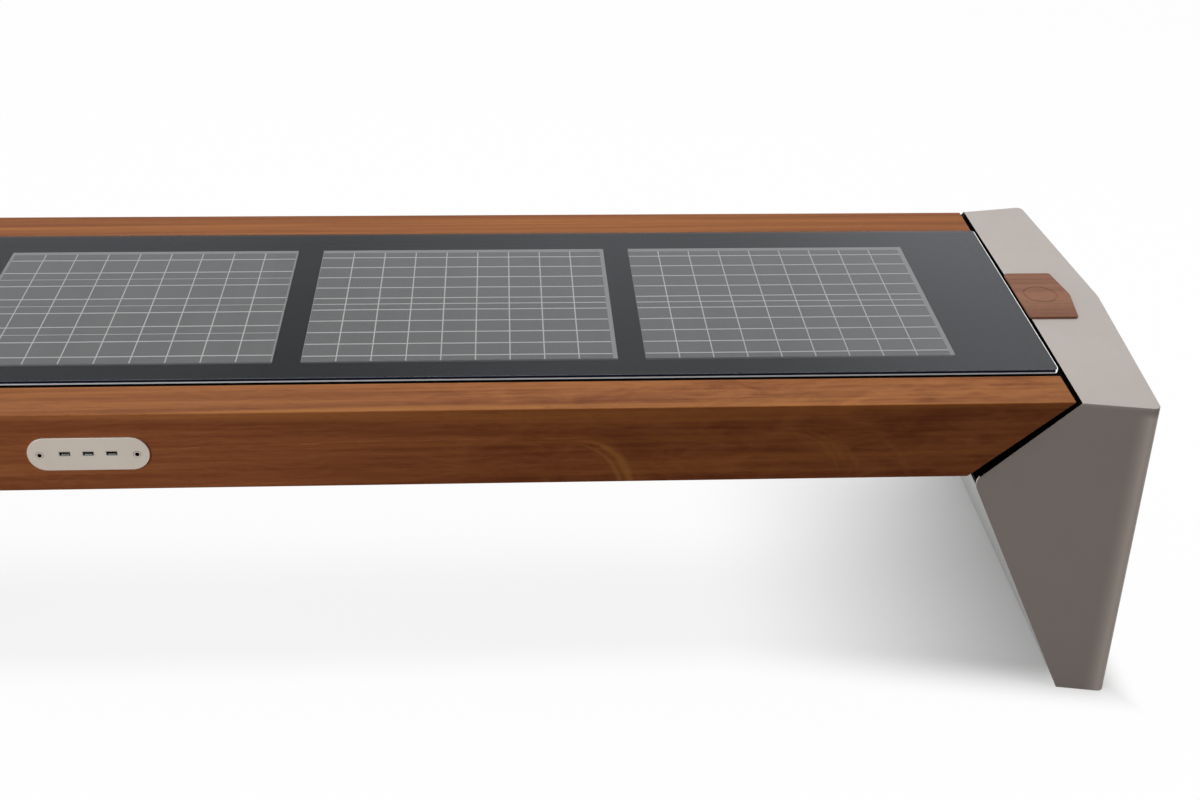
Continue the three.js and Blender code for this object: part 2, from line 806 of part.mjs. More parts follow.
/** The sheet pan under the frame, with the hatch opening, cable holes and hinge knuckles. */
function bellyPan() {
  const halfLength = panLength / 2;
  const halfDepth = beamInside - clearance;
  const shell = block([-halfLength, halfLength], [-halfDepth, halfDepth], [panBottom, panTop]);
  const hollow = block(
    [-halfLength + panThickness, halfLength - panThickness],
    [-halfDepth + panThickness, halfDepth - panThickness],
    [panFloor, panTop - panThickness],
  );
  const mouth = block(
    [-halfLength + panThickness, halfLength - panThickness],
    [-halfDepth + panFlange, halfDepth - panFlange],
    [panFloor, panTop + overrun],
  );
  const opening = block(
    [-hatchOpeningLength / 2, hatchOpeningLength / 2],
    [-hatchOpeningDepth / 2, hatchOpeningDepth / 2],
    [panBottom - overrun, panFloor + overrun],
  );
  const usbHole = bar(
    cableHoleRadius,
    new THREE.Vector3(socketPlateX, -halfDepth - overrun, socketPlateZ - usbLeadDrop),
    new THREE.Vector3(socketPlateX, -halfDepth + overrun, socketPlateZ - usbLeadDrop),
  );
  const cutters = [hollow, mouth, opening, usbHole, cableHole([-topLength, topLength])];
  const knuckles = panKnuckleLimits(0).map((limits) => {
    const leaf = block(limits, [hingeY, hingeY + knuckleRadius], [hingeZ, panFloor]);
    return join([knuckle(limits), leaf]);
  });
  return geometryFrom(cut(join([cut(shell, cutters), ...knuckles]), [pinHole()]));
}

/** The hatch: a stiffened sheet with two knuckles and a hole for the lock. */
function serviceHatch() {
  const halfLength = hatchOpeningLength / 2 + hatchOverlap;
  const frontY = -hatchOpeningDepth / 2 - hatchOverlap;
  const bottom = hatchTop - hatchThickness;
  const whole = block([-halfLength, halfLength], [frontY, hingeY - pinRadius], [bottom, hatchTop]);
  const notches = panKnuckleLimits(knucklePlay).map((limits) => block(
    limits,
    [hingeY - knuckleRadius - knucklePlay, hingeY + overrun],
    [bottom - overrun, hatchTop + overrun],
  ));
  const sheet = cut(whole, notches);
  const ribEnd = hatchOpeningDepth / 2 - ribInset;
  const ribs = [-1, 1].map((side) => {
    const x = side * (hatchOpeningLength / 2 - ribInset);
    return block(
      [x - ribWidth / 2, x + ribWidth / 2],
      [-ribEnd, ribEnd],
      [hatchTop - hatchThickness / 2, hatchTop + ribHeight],
    );
  });
  const knuckles = hingePoints.map((x) => knuckle([x - knuckleLength / 2, x + knuckleLength / 2]));
  const lockHole = bar(
    lockBodyRadius + clearance,
    new THREE.Vector3(0, lockY, bottom - overrun),
    new THREE.Vector3(0, lockY, hatchTop + overrun),
  );
  return geometryFrom(cut(join([sheet, ...ribs, ...knuckles]), [lockHole, pinHole()]));
}

/** The two hinge pins in one length of rod. */
function hingePin() {
  const reach = hatchOpeningLength / 4 + knuckleLength + knucklePlay;
  return geometryFrom(bar(
    pinRadius,
    new THREE.Vector3(-reach, hingeY, hingeZ),
    new THREE.Vector3(reach, hingeY, hingeZ),
  ));
}

/** The quarter-turn lock: key face, barrel and a cam that swings over the rim of the pan. */
function hatchLock() {
  const headTop = hatchTop - hatchThickness - clearance;
  const headBottom = headTop - lockHeadHeight;
  const camBottom = panFloor + camLift;
  const camTop = camBottom + camThickness;
  const head = bar(
    lockHeadRadius,
    new THREE.Vector3(0, lockY, headBottom),
    new THREE.Vector3(0, lockY, headTop),
  );
  const barrel = bar(
    lockBodyRadius,
    new THREE.Vector3(0, lockY, headBottom),
    new THREE.Vector3(0, lockY, camTop),
  );
  const cam = block([0, camLength], [lockY - camWidth / 2, lockY + camWidth / 2], [camBottom, camTop]);
  const keySlot = block(
    [-keySlotLength / 2, keySlotLength / 2],
    [lockY - keySlotWidth / 2, lockY + keySlotWidth / 2],
    [headBottom - overrun, headBottom + keySlotDepth],
  );
  return geometryFrom(cut(join([head, barrel, cam]), [keySlot]));
}

// Electronics

const equipmentFloor = panFloor + clearance;
const batteryEnd = -batteryFromMiddle;
const terminalZ = equipmentFloor + terminalHeight;

/** The sealed battery, lying on its side, with two terminals at its inner end. */
function batteryPack() {
  const body = block(
    [batteryEnd - batteryLength, batteryEnd],
    [-batteryDepth / 2, batteryDepth / 2],
    [equipmentFloor, equipmentFloor + batteryHeight],
  );
  const terminals = [-1, 1].map((side) => bar(
    terminalRadius,
    new THREE.Vector3(batteryEnd - terminalLength, side * terminalSpacing / 2, terminalZ),
    new THREE.Vector3(batteryEnd + terminalLength, side * terminalSpacing / 2, terminalZ),
  ));
  return geometryFrom(join([body, ...terminals]));
}

/** The steel strap that holds the battery down. */
function batteryStrap() {
  const x = batteryEnd - batteryLength / 2;
  const width = [x - strapWidth / 2, x + strapWidth / 2];
  const inside = batteryDepth / 2 + clearance;
  const outside = inside + strapThickness;
  const low = equipmentFloor;
  const high = equipmentFloor + batteryHeight + clearance;
  const section = outline([
    [-outside - strapFoot, low],
    [-inside, low],
    [-inside, high],
    [inside, high],
    [inside, low],
    [outside + strapFoot, low],
    [outside + strapFoot, low + strapThickness],
    [outside, low + strapThickness],
    [outside, high + strapThickness],
    [-outside, high + strapThickness],
    [-outside, low + strapThickness],
    [-outside - strapFoot, low + strapThickness],
  ]);
  return geometryFrom(solidFrom(runAlong(section, width)));
}

/** The charge controller, with cooling fins on its lid. */
function chargeController() {
  const start = controllerFromMiddle;
  const end = controllerFromMiddle + controllerLength;
  const top = equipmentFloor + controllerHeight;
  const body = block([start, end], [-controllerDepth / 2, controllerDepth / 2], [equipmentFloor, top]);
  const pitch = controllerLength / (finCount + 1);
  const grooves = Array.from({ length: finCount }, (_, i) => {
    const x = start + pitch * (i + 1);
    const depths = [-beamSpan, beamSpan];
    return block([x - finWidth / 2, x + finWidth / 2], depths, [top - finDepth, top + overrun]);
  });
  return geometryFrom(cut(body, grooves));
}

/** The junction box on the back of a solar panel, in the aisle behind the battery. */
function junctionBox(number) {
  const x = number * panelPitch;
  return geometryFrom(block(
    [x - junctionLength / 2, x + junctionLength / 2],
    [junctionY - junctionDepth / 2, junctionY + junctionDepth / 2],
    [carrierBottom - clearance - junctionHeight, carrierBottom - clearance],
  ));
}

/** A round cable along a list of points. */
function lead(points, steps) {
  const path = new THREE.CatmullRomCurve3(points.map(([x, y, z]) => new THREE.Vector3(x, y, z)));
  const section = new THREE.Shape();
  for (let side = 0; side < leadSides; side += 1) {
    const turn = 2 * Math.PI * side / leadSides;
    const point = [leadRadius * Math.cos(turn), leadRadius * Math.sin(turn)];
    if (side === 0) {
      section.moveTo(...point);
    } else {
      section.lineTo(...point);
    }
  }
  const geometry = new THREE.ExtrudeGeometry(section, { steps, extrudePath: path, bevelEnabled: false });
  return geometryFrom(solidFrom(geometry));
}

/** The cable from one junction box to the next one on its right. */
function panelLink(number) {
  const z = carrierBottom - clearance - junctionHeight / 2;
  const from = number * panelPitch + junctionLength / 2 + clearance;
  const to = (number + 1) * panelPitch - junctionLength / 2 - clearance;
  const low = z - leadDrop + leadHang;
  return lead([
    [from, junctionY, z],
    [from + leadBend, junctionY, z],
    [from + 3 * leadBend, junctionY, low],
    [from + 5 * leadBend, junctionY, low],
    [to - 5 * leadBend, junctionY, low],
    [to - 3 * leadBend, junctionY, low],
    [to - leadBend, junctionY, z],
    [to, junctionY, z],
  ], longLeadSteps);
}

/** The cable from the right-hand junction box down to the charge controller. */
function panelLead() {
  const x = panelPitch;
  const z = carrierBottom - clearance - junctionHeight / 2;
  const start = junctionY - junctionDepth / 2 - clearance;
  const endX = controllerFromMiddle + controllerLength - leadDrop;
  const endZ = equipmentFloor + controllerHeight / 2;
  const end = controllerDepth / 2 + clearance;
  return lead([
    [x, start, z],
    [x, start - leadHang / 2, z],
    [x, start - leadHang, z],
    [(x + endX) / 2, (start + end) / 2, (z + endZ) / 2],
    [endX, end + leadHang, endZ],
    [endX, end + leadHang / 2, endZ],
    [endX, end, endZ],
  ], shortLeadSteps);
}

/** The cable from the battery to the charge controller. */
function batteryLead() {
  const y = -terminalSpacing / 2;
  const startX = batteryEnd + terminalLength + clearance;
  const endX = controllerFromMiddle - clearance;
  const endZ = equipmentFloor + controllerHeight / 2;
  return lead([
    [startX, y, terminalZ],
    [startX + leadBend, y, terminalZ],
    [startX + 4 * leadBend, y / 2, endZ],
    [0, 0, endZ],
    [endX - 3 * leadBend, 0, endZ],
    [endX - leadBend, 0, endZ],
    [endX, 0, endZ],
  ], longLeadSteps);
}

/** The cable from the socket housing to the charge controller. */
function socketLead() {
  const z = socketPlateZ - usbLeadDrop;
  const startY = -beamFront + housingDepth + clearance;
  const runY = -cableHoleOffset - leadBend;
  const endX = controllerFromMiddle + controllerLength / 3;
  const endY = -controllerDepth / 2 - clearance;
  const endZ = equipmentFloor + controllerHeight / 2;
  return lead([
    [socketPlateX, startY, z],
    [socketPlateX, startY + leadBend, z],
    [socketPlateX + leadBend, runY - leadBend, (z + endZ) / 2],
    [socketPlateX + 4 * leadBend, runY, endZ],
    [0, runY, endZ],
    [controllerFromMiddle - 2 * leadBend, runY, endZ],
    [endX - leadBend, runY + leadBend, endZ],
    [endX, endY - leadHang, endZ],
    [endX, endY, endZ],
  ], longLeadSteps);
}

/** The first stretch of a coil's cable, from the coil down the leg and through the plates. */
function coilLeadStart(side) {
  const coilBottom = padSeat - clearance - coilThickness - clearance;
  const x = padCentreX();
  return [
    [side * x, 0, coilBottom],
    [side * x, 0, coilBottom - leadBend],
    [side * (x - leadHang), -cableHoleOffset / 2, cableHoleZ + leadHang],
    [side * (x - 2 * leadBend), -cableHoleOffset, cableHoleZ],
    [side * (notchPoint.x + leadBend), -cableHoleOffset, cableHoleZ],
    [side * (panLength / 2 - leadBend), -cableHoleOffset, cableHoleZ],
  ];
}

/** The cable from the right-hand charging coil to the controller. */
function coilLeadRight() {
  const endX = controllerFromMiddle + controllerLength + clearance;
  const y = -controllerDepth / 4;
  return lead([
    ...coilLeadStart(1),
    [endX + 4 * leadBend, -cableHoleOffset, cableHoleZ],
    [endX + 2 * leadBend, 2 * y, cableHoleZ],
    [endX + leadBend / 2, y, cableHoleZ],
    [endX, y, cableHoleZ],
  ], longLeadSteps);
}

/** The cable from the left-hand charging coil to the controller. */
function coilLeadLeft() {
  const endX = controllerFromMiddle - clearance;
  const y = -controllerDepth / 3;
  return lead([
    ...coilLeadStart(-1),
    [batteryEnd - batteryLength / 2, -cableHoleOffset - leadRadius, cableHoleZ],
    [batteryEnd + 2 * leadBend, -cableHoleOffset, cableHoleZ],
    [0, 2 * y, cableHoleZ],
    [endX - 2 * leadBend, y, cableHoleZ],
    [endX - leadBend / 2, y, cableHoleZ],
    [endX, y, cableHoleZ],
  ], 2 * longLeadSteps);
}

// Socket plate

const plateBack = -beamFront - clearance;
const plateFace = plateBack - socketPlateThickness;

/** The places of the three sockets along X. */
function socketPlaces() {
  return [-1, 0, 1].map((number) => socketPlateX + number * socketSpacing);
}

/** The body of a countersunk screw; a margin grows it all round and gives its head a straight rim. */
function screwBody(side, margin) {
  const rim = margin > 0 ? [new THREE.Vector2(screwHeadRadius + margin, margin)] : [];
  const profile = [
    new THREE.Vector2(0, 0),
    new THREE.Vector2(screwHeadRadius + margin, 0),
    ...rim,
    new THREE.Vector2(screwShankRadius + margin, screwHeadDepth + margin),
    new THREE.Vector2(screwShankRadius + margin, screwLength),
    new THREE.Vector2(0, screwLength),
  ];
  const geometry = new THREE.LatheGeometry(profile, roundSteps);
  geometry.translate(socketPlateX + side * screwSpacing / 2, plateFace, plateScrewZ);
  return solidFrom(geometry);
}

/** The stadium-shaped plate, with three windows and two screw holes. */
function socketPlate() {
  const shape = rectangle(
    [socketPlateX - socketPlateLength / 2, socketPlateX + socketPlateLength / 2],
    [socketPlateZ - socketPlateHeight / 2, socketPlateZ + socketPlateHeight / 2],
    socketPlateHeight / 2 - clearance,
    2 * cornerSteps,
  );
  const windows = socketPlaces().map((x) => block(
    [x - socketWidth / 2 - clearance, x + socketWidth / 2 + clearance],
    [plateFace - overrun, plateBack + overrun],
    [socketZ - socketHeight / 2 - clearance, socketZ + socketHeight / 2 + clearance],
  ));
  const screwHoles = [-1, 1].map((side) => screwBody(side, clearance));
  const plate = solidFrom(pushThrough(shape, [plateFace, plateBack]));
  return geometryFrom(cut(plate, [...windows, ...screwHoles]));
}

/** One socket: a metal shell, open at the front, with its contact tongue. */
function socket(x) {
  const front = plateFace;
  const back = plateFace + socketDepth;
  const shell = block(
    [x - socketWidth / 2, x + socketWidth / 2],
    [front, back],
    [socketZ - socketHeight / 2, socketZ + socketHeight / 2],
  );
  const mouth = block(
    [x - socketWidth / 2 + socketWall, x + socketWidth / 2 - socketWall],
    [front - overrun, back - socketBack],
    [socketZ - socketHeight / 2 + socketWall, socketZ + socketHeight / 2 - socketWall],
  );
  const tongueBottom = socketZ - socketHeight / 2 + socketWall + clearance;
  const tongue = block(
    [x - tongueWidth / 2, x + tongueWidth / 2],
    [front + tongueRecess, back],
    [tongueBottom, tongueBottom + tongueThickness],
  );
  return geometryFrom(join([cut(shell, [mouth]), tongue]));
}

/** The plastic housing behind the plate that holds the sockets and their converter. */
function socketHousing() {
  const front = -beamFront;
  const body = block(
    [socketPlateX - housingLength / 2, socketPlateX + housingLength / 2],
    [front, front + housingDepth],
    [socketPlateZ - housingHeight / 2, socketPlateZ + housingHeight / 2],
  );
  const pockets = socketPlaces().map((x) => block(
    [x - socketWidth / 2 - clearance, x + socketWidth / 2 + clearance],
    [front - overrun, plateFace + socketDepth + clearance],
    [socketZ - socketHeight / 2 - clearance, socketZ + socketHeight / 2 + clearance],
  ));
  return geometryFrom(cut(body, pockets));
}

// Charging pads

const padSeat = deckLevel - legWall - clearance;

/** The X of the middle of a charging pad. */
function padCentreX() {
  return legInnerX + padLength / 2;
}

/** The plan of the part of a pad that goes down through the leg's top, grown by a margin. */
function padPlugOutline(margin) {
  return rectangle(
    [legInnerX + padPlugMargin - margin, legInnerX + padLength - padPlugMargin + margin],
    [-padDepth / 2 + padPlugMargin - margin, padDepth / 2 - padPlugMargin + margin],
    padCornerRadius,
    cornerSteps / 2,
  );
}

/** The wooden pad on a leg, pointed outwards like the leg itself. */
function chargingPad() {
  const plan = outline([
    [legInnerX, -padDepth / 2, padCornerRadius],
    [legInnerX + padLength, -padDepth / 2, padCornerRadius],
    [legInnerX + padLength + padPoint, 0],
    [legInnerX + padLength, padDepth / 2, padCornerRadius],
    [legInnerX, padDepth / 2, padCornerRadius],
  ], cornerSteps / 2);
  const top = solidFrom(raise(plan, [deckLevel + clearance, deckLevel + padProud]));
  const plug = solidFrom(raise(padPlugOutline(0), [padSeat, deckLevel + padProud / 2]));
  return geometryFrom(join([top, plug]));
}

/** The charging coil in its round case, under a pad. */
function chargingCoil() {
  const top = padSeat - clearance;
  return geometryFrom(bar(
    coilRadius,
    new THREE.Vector3(padCentreX(), 0, top - coilThickness),
    new THREE.Vector3(padCentreX(), 0, top),
    2 * roundSteps,
  ));
}

// Assembly

/** Put the beams, the frame and both legs together. */
function addStructure() {
  addPiece('front_beam', frontBeam(), finishes.wood);
  addPiece('rear_beam', geometryFrom(beam(1)), finishes.wood);
  addPiece('frame_rail_front', frameRail(-1), finishes.frameSteel);
  addPiece('frame_rail_rear', frameRail(1), finishes.frameSteel);
  addPiece('cross_member_left', crossMember(-panelPitch / 2), finishes.frameSteel);
  addPiece('cross_member_right', crossMember(panelPitch / 2), finishes.frameSteel);
  addPair('frame_end_plate', frameEndPlate(), finishes.frameSteel);
  addPair('leg_shell', legShell(), finishes.legSteel);
  addPair('leg_inner_panel', legInnerPanel(), finishes.legSteel);
  addPair('leg_base_plate', legBasePlate(), finishes.zincSteel);
  addPair('leg_bracket', legBracket(), finishes.zincSteel);
  addPair('frame_bolt_front', frameBolt(-1), finishes.zincSteel);
  addPair('frame_bolt_rear', frameBolt(1), finishes.zincSteel);
  addPair('beam_spacer_front', beamSpacer(-1), finishes.zincSteel);
  addPair('beam_spacer_rear', beamSpacer(1), finishes.zincSteel);
}

/** Lay the solar deck on the frame. */
function addDeck() {
  addPiece('glass_top', glassTop(), finishes.glass);
  addPiece('glass_gasket', glassGasket(), finishes.rubber);
  addPiece('panel_carrier', panelCarrier(), finishes.blackPlastic);
  ['left', 'middle', 'right'].forEach((place, i) => {
    addPiece(`solar_panel_${place}`, solarPanel(i - 1), finishes.cells);
    addPiece(`junction_box_${place}`, junctionBox(i - 1), finishes.blackPlastic);
  });
}

/** Hang the pan under the frame, with its hatch and what it holds. */
function addElectronics() {
  addPiece('belly_pan', bellyPan(), finishes.frameSteel);
  addPiece('service_hatch', serviceHatch(), finishes.frameSteel);
  addPiece('hatch_hinge_pin', hingePin(), finishes.zincSteel);
  addPiece('hatch_lock', hatchLock(), finishes.zincSteel);
  addPiece('battery_pack', batteryPack(), finishes.greyPlastic);
  addPiece('battery_strap', batteryStrap(), finishes.zincSteel);
  addPiece('charge_controller', chargeController(), finishes.casting);
  addPiece('panel_link_left', panelLink(-1), finishes.blackPlastic);
  addPiece('panel_link_right', panelLink(0), finishes.blackPlastic);
  addPiece('panel_lead', panelLead(), finishes.blackPlastic);
  addPiece('battery_lead', batteryLead(), finishes.blackPlastic);
  addPiece('socket_lead', socketLead(), finishes.blackPlastic);
  addPiece('coil_lead_right', coilLeadRight(), finishes.blackPlastic);
  addPiece('coil_lead_left', coilLeadLeft(), finishes.blackPlastic);
}

/** Fit what the sitter uses: the socket plate and the charging pads. */
function addChargingPoints() {
  addPiece('socket_plate', socketPlate(), finishes.plateSteel);
  addPiece('socket_housing', socketHousing(), finishes.blackPlastic);
  ['left', 'middle', 'right'].forEach((place, i) => {
    addPiece(`usb_socket_${place}`, socket(socketPlaces()[i]), finishes.zincSteel);
  });
  addPiece('plate_screw_left', geometryFrom(screwBody(-1, 0)), finishes.plateSteel);
  addPiece('plate_screw_right', geometryFrom(screwBody(1, 0)), finishes.plateSteel);
  addPair('charging_pad', chargingPad(), finishes.padWood);
  addPair('charging_coil', chargingCoil(), finishes.blackPlastic);
}

addStructure();
addDeck();
addElectronics();
addChargingPoints();

export default bench;
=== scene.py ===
"""Looks of a solar charging bench: finer shapes and finishes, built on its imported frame.

Everything is in metres and in the frame's axes: X along the bench, the front at -Y, Z up.
"""

import json
import logging
import math
import random
from collections.abc import Callable, Iterable
from dataclasses import dataclass, field
from enum import Enum

import bmesh
import bpy
from mathutils import Matrix, Vector


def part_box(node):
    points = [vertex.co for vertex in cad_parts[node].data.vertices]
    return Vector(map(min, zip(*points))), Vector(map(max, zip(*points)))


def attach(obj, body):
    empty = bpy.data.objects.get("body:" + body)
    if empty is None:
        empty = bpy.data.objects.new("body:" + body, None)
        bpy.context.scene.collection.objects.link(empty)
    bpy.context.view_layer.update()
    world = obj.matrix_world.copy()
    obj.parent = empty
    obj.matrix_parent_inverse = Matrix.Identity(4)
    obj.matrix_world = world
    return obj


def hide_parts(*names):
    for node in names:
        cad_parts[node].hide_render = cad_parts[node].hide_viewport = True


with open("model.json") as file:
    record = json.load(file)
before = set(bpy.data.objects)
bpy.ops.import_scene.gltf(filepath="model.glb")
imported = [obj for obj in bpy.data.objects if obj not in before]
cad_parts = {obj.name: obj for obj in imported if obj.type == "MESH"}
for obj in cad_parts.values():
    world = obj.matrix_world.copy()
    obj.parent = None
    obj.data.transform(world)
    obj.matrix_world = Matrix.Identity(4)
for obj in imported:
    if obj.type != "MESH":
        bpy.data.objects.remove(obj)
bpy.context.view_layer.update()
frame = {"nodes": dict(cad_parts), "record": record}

log = logging.getLogger("bench")

Colour = tuple[float, float, float]
Point = tuple[float, float, float]
Limits = tuple[float, float]
Piece = bpy.types.Object
Material = bpy.types.Material

# Two places closer than this count as one
HAIR = 1e-5
# A normal or an edge with this share along an axis follows that axis
ALONG = 0.9
# The level about which noise swings
NOISE_MEAN = 0.5
FULL_TURN = 2 * math.pi
WHITE: Colour = (1.0, 1.0, 1.0)

# Sizes that two pieces or finishes share
PAD_LENGTH = 0.0655
PAD_PLUG_MARGIN = 0.013
COLUMN_PITCH = 0.04386
TURNED_TO_Y = (math.pi / 2, 0, 0)


class Part(Enum):
    """What is picked in edit mode."""

    POINT = "VERT"
    EDGE = "EDGE"
    FACE = "FACE"


class Blend(Enum):
    """How two colours are mixed."""

    PLAIN = "MIX"
    DARKEN = "MULTIPLY"


class Spot(Enum):
    """A spot whose name stands in the names of nodes."""

    @property
    def word(self) -> str:
        """The spot's name in the names of nodes."""
        return self.name.lower()


class End(Spot):
    """An end of the bench, as seen from the front."""

    RIGHT = 1
    LEFT = -1


class Third(Spot):
    """A place in a row of three, as seen from the front."""

    LEFT = -1
    MIDDLE = 0
    RIGHT = 1


# Modelling

def select_only(pieces: Iterable[Piece]) -> None:
    """Select these pieces and nothing else; the last one becomes active.

    Args:
        pieces: The pieces to select.
    """
    if bpy.context.mode != "OBJECT":
        bpy.ops.object.mode_set(mode="OBJECT")
    bpy.ops.object.select_all(action="DESELECT")
    for piece in pieces:
        piece.select_set(True)
        bpy.context.view_layer.objects.active = piece


def settle(piece: Piece, name: str) -> Piece:
    """Name a new primitive and put its place and size into its mesh.

    Args:
        piece: The primitive.
        name: Its name.

    Returns:
        The piece.
    """
    piece.name = name
    piece.data.name = name
    select_only([piece])
    bpy.ops.object.transform_apply(location=True, rotation=True, scale=True)
    return piece


def add_block(name: str, low: Iterable[float], high: Iterable[float]) -> Piece:
    """Add a block between two corners.

    Args:
        name: The name of the piece.
        low: Its lowest corner.
        high: Its highest corner.

    Returns:
        The block.
    """
    low, high = Vector(low), Vector(high)
    select_only([])
    bpy.ops.mesh.primitive_cube_add(size=1, location=(low + high) / 2, scale=high - low)
    return settle(bpy.context.object, name)


def add_bar(name: str, centre: Point, radius: float, length: float, sides: int) -> Piece:
    """Add a round bar that runs along Y.

    Args:
        name: The name of the piece.
        centre: Its middle.
        radius: Its radius.
        length: Its length.
        sides: The number of its sides.

    Returns:
        The bar.
    """
    select_only([])
    bpy.ops.mesh.primitive_cylinder_add(
        vertices=sides, radius=radius, depth=length, location=centre, rotation=TURNED_TO_Y,
    )
    return settle(bpy.context.object, name)


def finish_with(piece: Piece, kind: str, **settings: object) -> None:
    """Add a modifier to a piece and apply it.

    Args:
        piece: The piece.
        kind: The modifier's type.
        settings: The modifier's settings.
    """
    select_only([piece])
    modifier = piece.modifiers.new(kind.title(), kind)
    for name, value in settings.items():
        setattr(modifier, name, value)
    bpy.ops.object.modifier_apply(modifier=modifier.name)


def cut_out(piece: Piece, cutter: Piece) -> None:
    """Cut one piece out of another, and remove the cutter.

    Args:
        piece: The piece that is cut.
        cutter: What is taken away.
    """
    finish_with(piece, "BOOLEAN", operation="DIFFERENCE", solver="EXACT", object=cutter)
    bpy.data.objects.remove(cutter)


def joined(pieces: list[Piece], name: str) -> Piece:
    """Join pieces into one.

    Args:
        pieces: The pieces; the last one keeps its place in the scene.
        name: The name of the whole.

    Returns:
        The joined piece.
    """
    select_only(pieces)
    bpy.ops.object.join()
    whole = bpy.context.object
    whole.name = name
    whole.data.name = name
    return whole


def soften(piece: Piece, degrees: float = 35) -> None:
    """Shade a piece smooth across all edges flatter than an angle.

    Args:
        piece: The piece.
        degrees: The angle.
    """
    select_only([piece])
    bpy.ops.object.shade_smooth_by_angle(angle=math.radians(degrees))
    finish_with(piece, "WEIGHTED_NORMAL", keep_sharp=True, weight=100)


def middle(edge: bmesh.types.BMEdge) -> Vector:
    """The middle of an edge."""
    return (edge.verts[0].co + edge.verts[1].co) / 2


def runs_along(edge: bmesh.types.BMEdge, axis: int) -> bool:
    """Whether an edge runs mostly along X, Y or Z."""
    run = edge.verts[1].co - edge.verts[0].co
    return abs(run[axis]) > ALONG * run.length


class Shaping:
    """A piece in edit mode, used as a context."""

    def __init__(self, piece: Piece) -> None:
        """Keep the piece."""
        self.piece = piece

    def __enter__(self) -> "Shaping":
        """Go into edit mode.

        Returns:
            This context.
        """
        select_only([self.piece])
        bpy.ops.object.mode_set(mode="EDIT")
        return self

    def __exit__(self, *fault: object) -> None:
        """Leave edit mode."""
        bpy.ops.object.mode_set(mode="OBJECT")

    def pick(self, part: Part, test: Callable[..., bool]) -> int:
        """Select the points, edges or faces that pass a test, and nothing else.

        Args:
            part: What to select.
            test: The test.

        Returns:
            How many were selected.
        """
        bpy.ops.mesh.select_mode(type=part.value)
        bpy.ops.mesh.select_all(action="DESELECT")
        mesh = bmesh.from_edit_mesh(self.piece.data)
        mesh.normal_update()
        items = {Part.POINT: mesh.verts, Part.EDGE: mesh.edges, Part.FACE: mesh.faces}[part]
        found = [item for item in items if test(item)]
        for item in found:
            item.select_set(True)
        mesh.select_flush_mode()
        bmesh.update_edit_mesh(self.piece.data)
        return len(found)

    def move(self, x: float = 0, y: float = 0, z: float = 0) -> None:
        """Move what is selected."""
        bpy.ops.transform.translate(value=(x, y, z))

    def inset(self, width: float) -> None:
        """Set the selected faces in by a width."""
        bpy.ops.mesh.inset(thickness=width, depth=0)

    def draw_out(self, y: float = 0, z: float = 0) -> None:
        """Extrude the selected faces along Y or Z."""
        bpy.ops.mesh.extrude_region_move(TRANSFORM_OT_translate={"value": (0, y, z)})

    def slice(self, point: Vector, normal: Vector, clear: bool = True, fill: bool = True) -> None:
        """Cut what is selected with a plane.

        Args:
            point: A point of the plane.
            normal: The plane's normal.
            clear: Whether the side that the normal points to goes.
            fill: Whether the cut is closed.
        """
        bpy.ops.mesh.bisect(plane_co=point, plane_no=normal, use_fill=fill, clear_outer=clear)

    def slice_all(self, point: Vector, normal: Vector, clear: bool = True, fill: bool = True) -> None:
        """Cut the whole piece with a plane, as slice does."""
        bpy.ops.mesh.select_all(action="SELECT")
        self.slice(point, normal, clear, fill)

    def round_edges(self, test: Callable[..., bool], width: float, steps: int) -> None:
        """Round the edges that pass a test.

        Args:
            test: The test.
            width: How far the round reaches on each face.
            steps: The number of its faces.
        """
        if self.pick(Part.EDGE, test):
            bpy.ops.mesh.bevel(offset=width, segments=steps, affect="EDGES", clamp_overlap=True)


def assign_faces(
    piece: Piece, finishes: list[Material], choose: Callable[..., int] = lambda face: 0,
) -> None:
    """Give a piece one or more finishes.

    Args:
        piece: The piece.
        finishes: Its finishes.
        choose: Gives the number of a face's finish.
    """
    piece.data.materials.clear()
    for finish in finishes:
        piece.data.materials.append(finish)
    for face in piece.data.polygons:
        face.material_index = choose(face)


def hand_over(piece: Piece, node: str) -> None:
    """Put a finished piece in the place of a node of the frame, and report it.

    Args:
        piece: The piece.
        node: The node that it stands for.
    """
    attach(piece, "root")
    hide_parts(node)
    log.info("made %s with %d faces", piece.name, len(piece.data.polygons))


# Shaders

@dataclass(frozen=True)
class Noise:
    """Smooth noise between about 0 and 1.

    Attributes:
        scale: How many patches there are in a metre along X, Y and Z.
        detail: How many finer layers it has.
        roughness: How strong those are.
        distortion: How much it swirls.
    """

    scale: Point
    detail: float = 3
    roughness: float = 0.5
    distortion: float = 0


